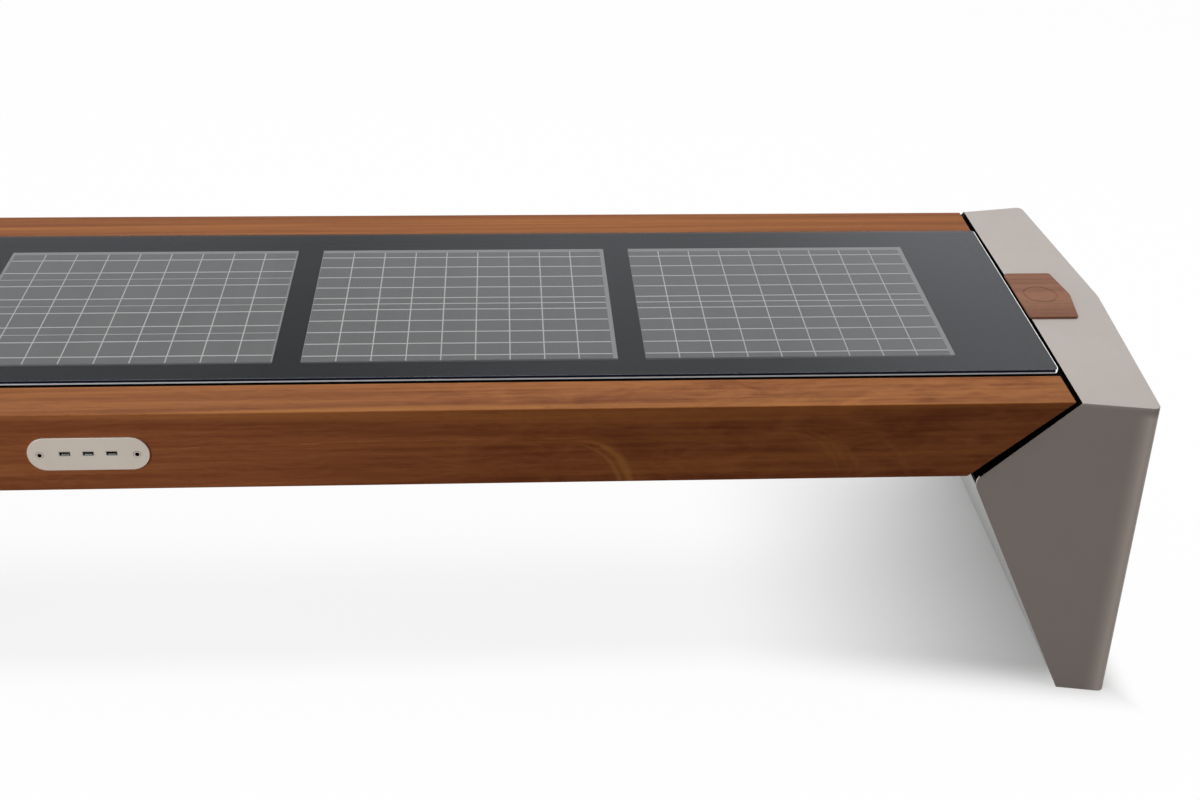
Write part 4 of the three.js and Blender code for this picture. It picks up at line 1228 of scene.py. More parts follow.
@dataclass(frozen=True)
class Palette:
    """All finishes of the bench, made once."""

    front_wood: Material
    rear_wood: Material
    pad_wood: Material
    leg_steel: Material
    polished_steel: Material
    plate_steel: Material
    zinc_steel: Material
    frame_steel: Material
    casting: Material
    rubber: Material
    black_plastic: Material
    grey_plastic: Material
    white_plastic: Material
    deep_shade: Material
    contact_gold: Material
    glass: Material
    glass_front: Material
    glass_end: Material
    cell: Material
    ribbon: Material
    sheet: Material
    deck_black: Material

    @classmethod
    def make(cls) -> "Palette":
        """Make every finish from its recipe."""
        return cls(**{name: recipe.material() for name, recipe in RECIPES.items()})

    def of_slot(self, slot: str) -> Material:
        """The finish of a material slot of the record, for pieces that keep their shape.

        Args:
            slot: The slot's name.

        Returns:
            The finish.
        """
        return {
            "hardwood": self.rear_wood,
            "pad_hardwood": self.pad_wood,
            "cover_glass": self.glass,
            "solar_cells": self.cell,
            "leg_steel": self.leg_steel,
            "plate_steel": self.plate_steel,
            "frame_steel": self.frame_steel,
            "zinc_steel": self.zinc_steel,
            "black_rubber": self.rubber,
            "black_plastic": self.black_plastic,
            "grey_plastic": self.grey_plastic,
            "cast_housing": self.casting,
        }[slot]


# Pieces

@dataclass
class Beam:
    """A hardwood beam with slanted ends and eased edges.

    Attributes:
        node: The node that it stands for.
        finish: Its wood.
        mitre_run: How much shorter its lower edge is at each end.
        arris: The round of its long edges.
        end_arris: The round of its ends' edges.
    """

    node: str
    finish: Material
    mitre_run: float = 0.121
    arris: float = 0.0013
    end_arris: float = 0.0008

    def build(self) -> Piece:
        """Build the beam.

        Returns:
            The beam.
        """
        low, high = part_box(self.node)
        beam = add_block(f"{self.node}_timber", low, high)
        with Shaping(beam) as shaping:
            for end in End:
                shaping.pick(Part.POINT, lambda v, e=end: v.co.z < low.z + HAIR and v.co.x * e.value > 0)
                shaping.move(x=-end.value * self.mitre_run)
            shaping.round_edges(lambda e: runs_along(e, 0), self.arris, steps=4)
            shaping.round_edges(lambda e: self._at_end(e, high.x), self.end_arris, steps=2)
        return beam

    def _at_end(self, edge: bmesh.types.BMEdge, reach: float) -> bool:
        """Whether an edge goes round one of the slanted ends.

        Args:
            edge: The edge.
            reach: The X of the beam's right end.

        Returns:
            True if it lies between a slanted face and another one, near an end.
        """
        slanted = [abs(face.normal.x) > 0.5 for face in edge.link_faces]
        return any(slanted) and not all(slanted) and abs(middle(edge).x) > reach - 2 * self.mitre_run

    def dress(self, beam: Piece) -> None:
        """Give the beam its finish and its place in the frame.

        Args:
            beam: The beam.
        """
        assign_faces(beam, [self.finish])
        soften(beam)
        hand_over(beam, self.node)


@dataclass
class SocketBeam(Beam):
    """The front beam, with the pocket behind the socket plate.

    Attributes:
        play: The room round the housing in the pocket.
        pocket_overrun: How far the pocket's cutter stands out.
        pilot: The radius of the screws' pilot holes.
        pilot_depth: How deep they are.
        pilot_overrun: How much longer their cutter is.
    """

    play: float = 0.0003
    pocket_overrun: float = 0.1
    pilot: float = 0.0023
    pilot_depth: float = 0.0165
    pilot_overrun: float = 0.002

    def build(self) -> Piece:
        """Build the beam and cut its pocket and its two pilot holes.

        Returns:
            The beam.
        """
        beam = super().build()
        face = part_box(self.node)[0].y
        low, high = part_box("socket_housing")
        grown = Vector((self.play, 0, self.play))
        reach = Vector((0, self.pocket_overrun, 0))
        cut_out(beam, add_block("pocket", low - grown - reach, high + grown + reach))
        for end in End:
            low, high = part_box(f"plate_screw_{end.word}")
            centre = ((low.x + high.x) / 2, face + self.pilot_depth / 2, (low.z + high.z) / 2)
            cut_out(beam, add_bar("pilot", centre, self.pilot, self.pilot_depth + self.pilot_overrun, 20))
        return beam


@dataclass
class Leg:
    """A leg's folded sheet: top, front, back and a pointed outer side, open below and inside.

    Attributes:
        end: The end of the bench that it carries.
        palette: The finishes.
        inner_x: The X of the top's inner edge.
        corner_x: The X of the top's outer corners.
        point_x: The X of the point between those corners.
        lean: How much further out the outer side stands at the foot.
        inner_y: Half the depth at the inner edge.
        flare: How much deeper each half is at the outer corners.
        notch: The X and Z of the notch below the mitre.
        notch_reach: How far the notch's round reaches.
        foot_inner_x: The X of the foot's inner edge.
        foot_lift: How far the sheet ends above the ground.
        lip: How far below the top the mitre starts.
        bulge: How far the middle of the inner edge stands back.
        wall: The sheet's thickness.
        bend_reach: How far the upright bends reach on each face.
        ridge_reach: How far the bend at the point reaches.
        top_round: The round of the fold round the top.
        rim_round: The round of all cut rims.
        plug_margin: How much the pad overlaps its hole.
        pad_length: The length of the pad.
        play: The room round the pad's plug.
        overrun: How much wider the first block is.
        hole_reach: How far the hole's cutter reaches up and down.
        bend_steps: The number of faces of an upright bend, and of the notch's round.
        fine_steps: The number of faces of the other rounds.
        top: The height of the top, known once it is built.
        mitre: The direction that the mitre faces, known once it is built.
    """

    end: End
    palette: Palette
    inner_x: float = 0.760
    corner_x: float = 0.854
    point_x: float = 0.875
    lean: float = 0.009
    inner_y: float = 0.286
    flare: float = 0.01693
    notch: tuple[float, float] = (0.6483, 0.3198)
    notch_reach: float = 0.0102
    foot_inner_x: float = 0.800
    foot_lift: float = 0.0001
    lip: float = 0.0082
    bulge: float = 0.0025
    wall: float = 0.004
    bend_reach: float = 0.00997
    ridge_reach: float = 0.007
    top_round: float = 0.0011
    rim_round: float = 0.0008
    plug_margin: float = PAD_PLUG_MARGIN
    pad_length: float = PAD_LENGTH
    play: float = 0.0003
    overrun: float = 0.05
    hole_reach: float = 0.02
    bend_steps: int = 7
    fine_steps: int = 4
    top: float = field(init=False)
    mitre: Vector = field(init=False)

    def at(self, x: float, y: float, z: float) -> Vector:
        """A place on this end of the bench, given for the right end."""
        return Vector((self.end.value * x, y, z))

    def build(self) -> Piece:
        """Build the sheet.

        Returns:
            The sheet.
        """
        self.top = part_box(f"leg_shell_{self.end.word}")[1].z
        far, wide = self.point_x + 2 * self.lean, self.inner_y + 2 * self.flare
        corners = [self.at(self.notch[0] - self.overrun, -wide, 0), self.at(far, wide, self.top)]
        low = Vector(map(min, *corners))
        high = Vector(map(max, *corners))
        leg = add_block(f"leg_sheet_{self.end.word}", low, high)
        with Shaping(leg) as shaping:
            self._trim_outside(shaping)
            self._trim_inside(shaping)
            self._fold(shaping)
        even = {"use_even_offset": True, "use_quality_normals": True}
        finish_with(leg, "SOLIDIFY", thickness=self.wall, offset=-1, **even)
        self._trim_foot(leg, 0)
        self._round_rims(leg)
        self._trim_foot(leg, self.foot_lift)
        self._cut_pad_hole(leg)
        return leg

    def _trim_outside(self, shaping: Shaping) -> None:
        """Cut the block to the leg's flared front and back and its leaning outer side.

        Args:
            shaping: The block.
        """
        slope = self.flare / (self.corner_x - self.inner_x)
        for side in (-1, 1):
            corner_y = side * (self.inner_y + self.flare)
            flank = self.at(slope, -side, 0)
            shaping.slice_all(self.at(self.corner_x, corner_y, 0), -flank.normalized())
            corner = self.at(self.corner_x, corner_y, self.top)
            ridge = self.at(self.point_x, 0, self.top)
            foot = self.at(self.corner_x + self.lean, corner_y + side * slope * self.lean, 0)
            outward = (ridge - corner).cross(foot - corner).normalized()
            if outward.x * self.end.value < 0:
                outward = -outward
            shaping.slice_all(corner, outward)

    def _trim_inside(self, shaping: Shaping) -> None:
        """Open the leg below and towards the middle: along its slope, its mitre and its top edge.

        Args:
            shaping: The block.
        """
        notch = self.at(self.notch[0], 0, self.notch[1])
        foot = self.at(self.foot_inner_x, 0, 0)
        slope = (foot - notch).normalized()
        inwards = Vector((slope.z, 0, -slope.x)) * self.end.value
        shaping.slice_all(notch, inwards, fill=False)
        shaping.slice_all(self.at(self.inner_x, 0, 0), self.at(1, 0, 0), clear=False, fill=False)
        run = (self.at(self.inner_x, 0, self.top - self.lip) - notch).normalized()
        self.mitre = Vector((-run.z, 0, run.x)) * self.end.value
        edge = self.inner_x - HAIR
        shaping.pick(Part.FACE, lambda f: f.calc_center_median().x * self.end.value < edge)
        shaping.slice(notch, self.mitre, clear=False, fill=False)
        shaping.pick(Part.FACE, lambda f: self._goes(f, edge, notch))
        bpy.ops.mesh.delete(type="FACE")
        shaping.pick(Part.EDGE, self._is_seam)
        bpy.ops.mesh.dissolve_edges()

    def _goes(self, face: bmesh.types.BMFace, edge: float, notch: Vector) -> bool:
        """Whether a face is cut away.

        Args:
            face: The face.
            edge: The X of the top's inner edge.
            notch: A point of the mitre.

        Returns:
            True for the bottom and for what lies above the mitre.
        """
        centre = face.calc_center_median()
        above = (centre - notch).dot(self.mitre) > 0
        return face.normal.z < -ALONG or (above and centre.x * self.end.value < edge)

    def _is_seam(self, edge: bmesh.types.BMEdge) -> bool:
        """Whether an edge only splits the flat front or back at the top's inner edge."""
        on_line = all(abs(v.co.x * self.end.value - self.inner_x) < HAIR for v in edge.verts)
        return on_line and runs_along(edge, 2) and len(edge.link_faces) == 2

    def _fold(self, shaping: Shaping) -> None:
        """Shape the top's inner edge, the bends and the rounded notch.

        Args:
            shaping: The trimmed sheet, still without thickness.
        """
        top = self.top - HAIR
        shaping.pick(Part.EDGE, lambda e: e.is_boundary and runs_along(e, 1) and middle(e).z > top)
        bpy.ops.mesh.subdivide(number_cuts=1)
        shaping.pick(Part.POINT, lambda v: v.is_boundary and abs(v.co.y) < HAIR and v.co.z > top)
        shaping.move(x=self.end.value * self.bulge)
        shaping.round_edges(lambda e: self._is_bend(e, self.corner_x), self.bend_reach, self.bend_steps)
        shaping.round_edges(lambda e: self._is_bend(e, self.point_x), self.ridge_reach, self.fine_steps)
        notch_x = self.notch[0] + HAIR
        shaping.pick(Part.POINT, lambda v: v.co.x * self.end.value < notch_x)
        bpy.ops.mesh.bevel(offset=self.notch_reach, segments=self.bend_steps, affect="VERTICES")
        shaping.round_edges(self._is_top_rim, self.top_round, self.fine_steps)

    def _is_bend(self, edge: bmesh.types.BMEdge, x: float) -> bool:
        """Whether an edge is an upright bend that starts at a given X at the top."""
        place = middle(edge).x * self.end.value
        return runs_along(edge, 2) and abs(place - x - self.lean / 2) < self.lean / 2

    def _is_top_rim(self, edge: bmesh.types.BMEdge) -> bool:
        """Whether an edge is the fold round the top."""
        folded = any(face.normal.z > ALONG for face in edge.link_faces)
        return folded and len(edge.link_faces) == 2 and middle(edge).z > self.top - HAIR

    def _round_rims(self, leg: Piece) -> None:
        """Round all cut rims of the sheet."""
        limit = {"limit_method": "ANGLE", "angle_limit": math.radians(60)}
        finish_with(leg, "BEVEL", width=self.rim_round, segments=2, **limit)

    def _trim_foot(self, leg: Piece, height: float) -> None:
        """Cut off all that lies below a height."""
        with Shaping(leg) as shaping:
            shaping.slice_all(Vector((0, 0, height)), Vector((0, 0, -1)))

    def _cut_pad_hole(self, leg: Piece) -> None:
        """Cut the hole that the charging pad's lower part goes through.

        Args:
            leg: The sheet.
        """
        pad_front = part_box(f"charging_pad_{self.end.word}")[0].y
        inner = self.inner_x + self.plug_margin - self.play
        outer = self.inner_x + self.pad_length - self.plug_margin + self.play
        left, right = sorted((self.end.value * inner, self.end.value * outer))
        front = pad_front + self.plug_margin - self.play
        low = (left, front, self.top - self.hole_reach)
        high = (right, -front, self.top + self.hole_reach)
        cut_out(leg, add_block("pad_hole", low, high))

    def dress(self, leg: Piece) -> None:
        """Give the sheet its finish, with painted shade where it faces the gap, and its place in the frame.

        Args:
            leg: The sheet.
        """
        finishes = [self.palette.leg_steel, self.palette.deep_shade, self.palette.plate_steel]
        assign_faces(leg, finishes, self._finish_of)
        soften(leg, degrees=30)
        hand_over(leg, f"leg_shell_{self.end.word}")

    def _finish_of(self, face: bpy.types.MeshPolygon) -> int:
        """The number of a face's finish.

        Args:
            face: The face.

        Returns:
            0 for the sheet, 1 for painted shade on its rim beside the beams and the glass, 2 for the rim
            round the notch.
        """
        place = abs(face.center.x)
        inwards = -face.normal.x * self.end.value
        notch_end = self.notch[0] + 0.8 * self.notch_reach
        at_top = inwards > 0.5 and face.center.z > self.top - 2 * self.lip
        on_mitre = face.normal.dot(self.mitre) > 0.5
        if (at_top or on_mitre) and notch_end < place < self.inner_x + 2 * self.bulge:
            return 1
        return 2 if inwards > 0.4 and place < notch_end else 0


@dataclass
class ChargingPad:
    """A wooden pad, pointed like its leg, with a plain ring engraved over the coil.

    Attributes:
        end: The end of the bench that it lies on.
        finish: Its wood.
        length: Its length, without the point.
        corner: The round of its outer corners.
        top_round: The round of its upper edges.
        plug_margin: How much narrower its lower part is on each side.
        plug_depth: How deep that part is.
        ring_radius: The radius of the ring.
        ring_groove: The depth of its groove.
        inner: The X of its inner edge, known once it is built.
    """

    end: End
    finish: Material
    length: float = PAD_LENGTH
    corner: float = 0.004
    top_round: float = 0.0009
    plug_margin: float = PAD_PLUG_MARGIN
    plug_depth: float = 0.0046
    ring_radius: float = 0.0225
    ring_groove: float = 0.0008
    inner: float = field(init=False)

    def build(self) -> Piece:
        """Build the pad.

        Returns:
            The pad.
        """
        low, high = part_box(f"charging_pad_{self.end.word}")
        self.inner, tip = sorted((abs(low.x), abs(high.x)))
        left, right = sorted((self.end.value * self.inner, self.end.value * (self.inner + self.length)))
        base = low.z + self.plug_depth
        pad = add_block(f"charging_pad_top_{self.end.word}", (left, low.y, base), (right, high.y, high.z))
        outer = self.inner + self.length - HAIR
        corner_y, top = high.y - HAIR, high.z - HAIR
        with Shaping(pad) as shaping:
            shaping.pick(Part.EDGE, lambda e: middle(e).x * self.end.value > outer and runs_along(e, 1))
            bpy.ops.mesh.subdivide(number_cuts=1)
            shaping.pick(Part.POINT, lambda v: v.co.x * self.end.value > outer and abs(v.co.y) < HAIR)
            shaping.move(x=self.end.value * (tip - self.inner - self.length))
            shaping.round_edges(
                lambda e: runs_along(e, 2) and abs(middle(e).y) > corner_y, self.corner, steps=5,
            )
            shaping.round_edges(lambda e: middle(e).z > top, self.top_round, steps=3)
            shaping.pick(Part.FACE, lambda f: f.normal.z < -ALONG)
            shaping.inset(self.plug_margin)
            shaping.draw_out(z=-self.plug_depth)
        self._engrave(pad, high.z)
        return pad

    def _engrave(self, pad: Piece, top: float) -> None:
        """Cut a plain ring into the top.

        Args:
            pad: The pad.
            top: The height of its top.
        """
        select_only([])
        bpy.ops.mesh.primitive_torus_add(
            location=(self.end.value * (self.inner + self.length / 2), 0, top),
            major_radius=self.ring_radius,
            minor_radius=self.ring_groove,
            major_segments=64,
            minor_segments=8,
        )
        cut_out(pad, settle(bpy.context.object, "ring_cutter"))

    def dress(self, pad: Piece) -> None:
        """Give the pad its finish and its place in the frame.

        Args:
            pad: The pad.
        """
        assign_faces(pad, [self.finish])
        soften(pad)
        hand_over(pad, f"charging_pad_{self.end.word}")


@dataclass
class CoverGlass:
    """The toughened cover glass with ground and polished edges.

    Attributes:
        palette: The finishes.
        corner: The round of its corners.
        chamfer: The round of its upper and lower edges.
    """

    palette: Palette
    corner: float = 0.007
    chamfer: float = 0.0010

    def build(self) -> Piece:
        """Build the glass.

        Returns:
            The glass.
        """
        low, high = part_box("glass_top")
        glass = add_block("cover_glass", low, high)
        with Shaping(glass) as shaping:
            shaping.round_edges(lambda e: runs_along(e, 2), self.corner, steps=8)
            shaping.round_edges(lambda e: middle(e).z > high.z - HAIR, self.chamfer, steps=2)
            shaping.round_edges(lambda e: middle(e).z < low.z + HAIR, self.chamfer, steps=2)
        return glass

    def dress(self, glass: Piece) -> None:
        """Give the glass its clear faces, its dark edges and its bright ends.

        Args:
            glass: The glass.
        """
        finishes = [self.palette.glass, self.palette.glass_front, self.palette.glass_end]
        assign_faces(glass, finishes, self._finish_of)
        soften(glass, degrees=30)
        hand_over(glass, "glass_top")

    def _finish_of(self, face: bpy.types.MeshPolygon) -> int:
        """The number of a face's finish: 0 for clear, 1 for a long edge and 2 for an end."""
        edge = 2 if abs(face.normal.x) > 0.3 else 1
        return 0 if abs(face.normal.z) > 0.98 else edge


@dataclass(frozen=True)
class CellLayout:
    """How the cells of a solar panel are cut and laid.

    Attributes:
        rows: The number of rows.
        row_depth: The depth of a row.
        row_gap: The gap between two rows.
        bars: The number of ribbons in a row.
        bar_pitch: The distance between two ribbons.
        centre_x: The X of the middle of all cells.
        centre_y: The Y of that middle.
        turn: How much the cells lie askew, in radians.
        columns: The number of columns.
        column_pitch: The distance between two columns.
        column_gap: The gap between two columns.
    """

    rows: int
    row_depth: float
    row_gap: float
    bars: int
    bar_pitch: float
    centre_x: float
    centre_y: float
    turn: float
    columns: int = 9
    column_pitch: float = COLUMN_PITCH
    column_gap: float = 0.0017

    def row_start(self, row: int) -> float:
        """Where a row begins, from the middle of all rows."""
        whole = self.rows * self.row_depth + (self.rows - 1) * self.row_gap
        return row * (self.row_depth + self.row_gap) - whole / 2

    @property
    def length(self) -> float:
        """The length of all columns, without the last gap."""
        return self.columns * self.column_pitch - self.column_gap

    @property
    def left(self) -> float:
        """The X where the first column begins."""
        return self.centre_x - self.length / 2

    @property
    def cell_length(self) -> float:
        """The length of one cell."""
        return self.column_pitch - self.column_gap


WHOLE_ROWS = {"rows": 2, "row_depth": 0.1578, "row_gap": 0.0023, "bars": 5, "bar_pitch": 0.03156}
HALF_ROWS = {"rows": 4, "row_depth": 0.0783, "row_gap": 0.0016, "bars": 2, "bar_pitch": 0.03946}
LAYOUTS = {
    Third.LEFT: CellLayout(**HALF_ROWS, centre_x=-0.43440, centre_y=0.0004, turn=0.0012),
    Third.MIDDLE: CellLayout(**WHOLE_ROWS, centre_x=-0.00250, centre_y=-0.0004, turn=-0.0020),
    Third.RIGHT: CellLayout(**WHOLE_ROWS, centre_x=0.43240, centre_y=-0.0006, turn=0.0020),
}


@dataclass
class SolarPanel:
    """A laminated solar panel: a backing sheet, cut cells and the flat ribbons that join them.

    Attributes:
        third: Its place in the deck.
        palette: The finishes.
        sheet_drop: How far the backing sheet lies below the panel's top.
        sheet_round: The round of the sheet's edges.
        cell_thickness: The thickness of the cells.
        cell_clip: How much of a cell's corners is clipped.
        ribbon_width: The width of a ribbon.
        ribbon_thickness: The thickness of a ribbon.
        edge_margin: How far the cells stay behind the panel's front.
        jitter: How far a stretch of ribbon may lie off its place.
        chance: Where the jitter comes from.
        layout: How its cells are laid.
        low: The panel's lowest corner.
        high: The panel's highest corner.
        sheet_top: The height of the sheet.
    """

    third: Third
    palette: Palette
    sheet_drop: float = 0.0005
    sheet_round: float = 0.0004
    cell_thickness: float = 0.0002
    cell_clip: float = 0.0006
    ribbon_width: float = 0.0022
    ribbon_thickness: float = 0.00012
    edge_margin: float = 0.0003
    jitter: float = 0.00022
    chance: random.Random = field(default_factory=lambda: random.Random(7))
    layout: CellLayout = field(init=False)
    low: Vector = field(init=False)
    high: Vector = field(init=False)
    sheet_top: float = field(init=False)

    def __post_init__(self) -> None:
        """Find the panel's layout and its box."""
        self.layout = LAYOUTS[self.third]
        self.low, self.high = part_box(f"solar_panel_{self.third.word}")
        self.sheet_top = self.high.z - self.sheet_drop

    def build(self) -> Piece:
        """Build the panel.

        Returns:
            The panel.
        """
        sheet = add_block("sheet", self.low, (self.high.x, self.high.y, self.sheet_top))
        with Shaping(sheet) as shaping:
            shaping.round_edges(lambda e: True, self.sheet_round, steps=2)
        assign_faces(sheet, [self.palette.sheet])
        rows, bars = range(self.layout.rows), range(self.layout.bars)
        cells = joined([self._row_of_cells(row) for row in rows], "cells")
        assign_faces(cells, [self.palette.cell])
        ribbons = joined([self._bar(row, bar) for row in rows for bar in bars], "ribbons")
        self._unsettle(ribbons)
        assign_faces(ribbons, [self.palette.ribbon])
        gaps = self._gaps()
        assign_faces(gaps, [self.palette.ribbon])
        return joined([cells, ribbons, gaps, sheet], f"solar_laminate_{self.third.word}")

    def _front_of(self, row: int) -> float:
        """The Y of a row's front, inside the panel."""
        return max(self.layout.centre_y + self.layout.row_start(row), self.low.y + self.edge_margin)

    def _row_of_cells(self, row: int) -> Piece:
        """Lay one row of cells, each a thin tile with clipped corners.

        Args:
            row: The number of the row.

        Returns:
            The row.
        """
        left, base = self.layout.left, self.sheet_top
        back = self.layout.centre_y + self.layout.row_start(row) + self.layout.row_depth
        high = (left + self.layout.cell_length, back, base + self.cell_thickness)
        tile = add_block("tile", (left, self._front_of(row), base), high)
        with Shaping(tile) as shaping:
            shaping.round_edges(lambda e: runs_along(e, 2), self.cell_clip, steps=1)
        self._repeat(tile, self.layout.columns)
        return tile

    def _repeat(self, piece: Piece, count: int) -> None:
        """Repeat a piece from column to column.

        Args:
            piece: The piece.
            count: How many there are to be.
        """
        finish_with(
            piece,
            "ARRAY",
            count=count,
            use_relative_offset=False,
            use_constant_offset=True,
            constant_offset_displace=(self.layout.column_pitch, 0, 0),
        )

    def _bar(self, row: int, number: int) -> Piece:
        """Lay one ribbon across all columns, in one stretch for each cell.

        Args:
            row: The number of the row.
            number: The number of the ribbon in its row.

        Returns:
            The ribbon.
        """
        left, half = self.layout.left, self.ribbon_width / 2
        across = (number - (self.layout.bars - 1) / 2) * self.layout.bar_pitch
        y = self.layout.centre_y + self.layout.row_start(row) + self.layout.row_depth / 2 + across
        base = self.sheet_top + self.cell_thickness
        high = (left + self.layout.cell_length, y + half, base + self.ribbon_thickness)
        bar = add_block("bar", (left, y - half, base), high)
        self._repeat(bar, self.layout.columns)
        return bar

    def _unsettle(self, ribbons: Piece) -> None:
        """Shift and tilt each stretch of ribbon a little, as hand-laid ribbons are.

        Args:
            ribbons: All ribbons of the panel.
        """
        corners = 8
        points = [point.co.copy() for point in ribbons.data.vertices]
        half = self.layout.cell_length / 2
        with Shaping(ribbons) as shaping:
            for start in range(0, len(points), corners):
                centre = sum(points[start:start + corners], Vector()) / corners
                shift = self.chance.uniform(-self.jitter, self.jitter)
                tilt = self.chance.uniform(-self.jitter, self.jitter) / self.layout.column_pitch * 2
                for side in (-1, 1):
                    end = Vector((centre.x + side * half, centre.y))
                    shaping.pick(Part.POINT, lambda v, e=end: self._is_near(v, e))
                    shaping.move(y=shift + side * tilt * half)

    def _is_near(self, point: bmesh.types.BMVert, end: Vector) -> bool:
        """Whether a point belongs to an end of a stretch of ribbon."""
        return abs(point.co.x - end.x) < HAIR and abs(point.co.y - end.y) < self.ribbon_width

    def _gaps(self) -> Piece:
        """Lay the pale strips between the columns and between the rows.

        Returns:
            The strips.
        """
        layout, base = self.layout, self.sheet_top
        top = base + self.ribbon_thickness / 2
        start = layout.left + layout.cell_length
        back = layout.centre_y - layout.row_start(0)
        strip = add_block("strip", (start, self._front_of(0), base), (start + layout.column_gap, back, top))
        self._repeat(strip, layout.columns - 1)
        strips = [strip]
        for row in range(1, layout.rows):
            y = layout.centre_y + layout.row_start(row)
            high = (layout.left + layout.length, y, top + self.ribbon_thickness / 8)
            strips.append(add_block("row_strip", (layout.left, y - layout.row_gap, base), high))
        return joined(strips, "gaps")

    def dress(self, panel: Piece) -> None:
        """Turn the cells a little and give the panel its place in the frame.

        Args:
            panel: The panel.
        """
        with Shaping(panel) as shaping:
            shaping.pick(Part.POINT, lambda v: v.co.z > self.sheet_top + HAIR)
            bpy.ops.transform.rotate(
                value=-self.layout.turn,
                orient_axis="Z",
                center_override=(self.layout.centre_x, self.layout.centre_y, 0),
            )
        hand_over(panel, f"solar_panel_{self.third.word}")


@dataclass
class SocketPlate:
    """The stadium-shaped plate in the front beam, with windows and countersunk screw holes.

    Attributes:
        palette: The finishes.
        end_flat: Half the flat that is left at each end.
        edge_round: The round of its front edge.
        window_play: The room round a socket in its window.
        window_corner: The round of a window's corners.
        overrun: How far a window's cutter stands out.
        sink_radius: The radius of a sink at its mouth.
        sink_floor: The radius of a sink at its bottom.
        sink_length: The length of a sink's cutter.
        sink_depth: How deep its middle lies.
    """

    palette: Palette
    end_flat: float = 0.0003
    edge_round: float = 0.0008
    window_play: float = 0.0003
    window_corner: float = 0.0006
    overrun: float = 0.02
    sink_radius: float = 0.0049
    sink_floor: float = 0.0022
    sink_length: float = 0.0034
    sink_depth: float = 0.0015

    def build(self) -> Piece:
        """Build the plate.

        Returns:
            The plate.
        """
        low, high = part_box("socket_plate")
        plate = add_block("socket_faceplate", low, high)
        with Shaping(plate) as shaping:
            shaping.round_edges(lambda e: runs_along(e, 1), (high.z - low.z) / 2 - self.end_flat, steps=16)
            shaping.round_edges(lambda e: middle(e).y < low.y + HAIR, self.edge_round, steps=3)
        reach = Vector((0, self.overrun, 0))
        play = Vector((self.window_play, 0, self.window_play))
        for third in Third:
            port_low, port_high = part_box(f"usb_socket_{third.word}")
            window = add_block("window", port_low - play - reach, port_high + play + reach)
            with Shaping(window) as shaping:
                shaping.round_edges(lambda e: runs_along(e, 1), self.window_corner, steps=3)
            cut_out(plate, window)
        for end in End:
            self._countersink(plate, end, low.y)
        return plate

    def _countersink(self, plate: Piece, end: End, face: float) -> None:
        """Sink a cone for a screw's head into the plate.

        Args:
            plate: The plate.
            end: The end of the plate.
            face: The Y of the plate's face.
        """
        low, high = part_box(f"plate_screw_{end.word}")
        select_only([])
        bpy.ops.mesh.primitive_cone_add(
            vertices=48,
            radius1=self.sink_radius,
            radius2=self.sink_floor,
            depth=self.sink_length,
            location=((low.x + high.x) / 2, face + self.sink_depth, (low.z + high.z) / 2),
            rotation=(-math.pi / 2, 0, 0),
        )
        cut_out(plate, settle(bpy.context.object, "sink"))

    def dress(self, plate: Piece) -> None:
        """Give the plate its finish and its place in the frame.

        Args:
            plate: The plate.
        """
        assign_faces(plate, [self.palette.plate_steel])
        soften(plate, degrees=30)
        hand_over(plate, "socket_plate")


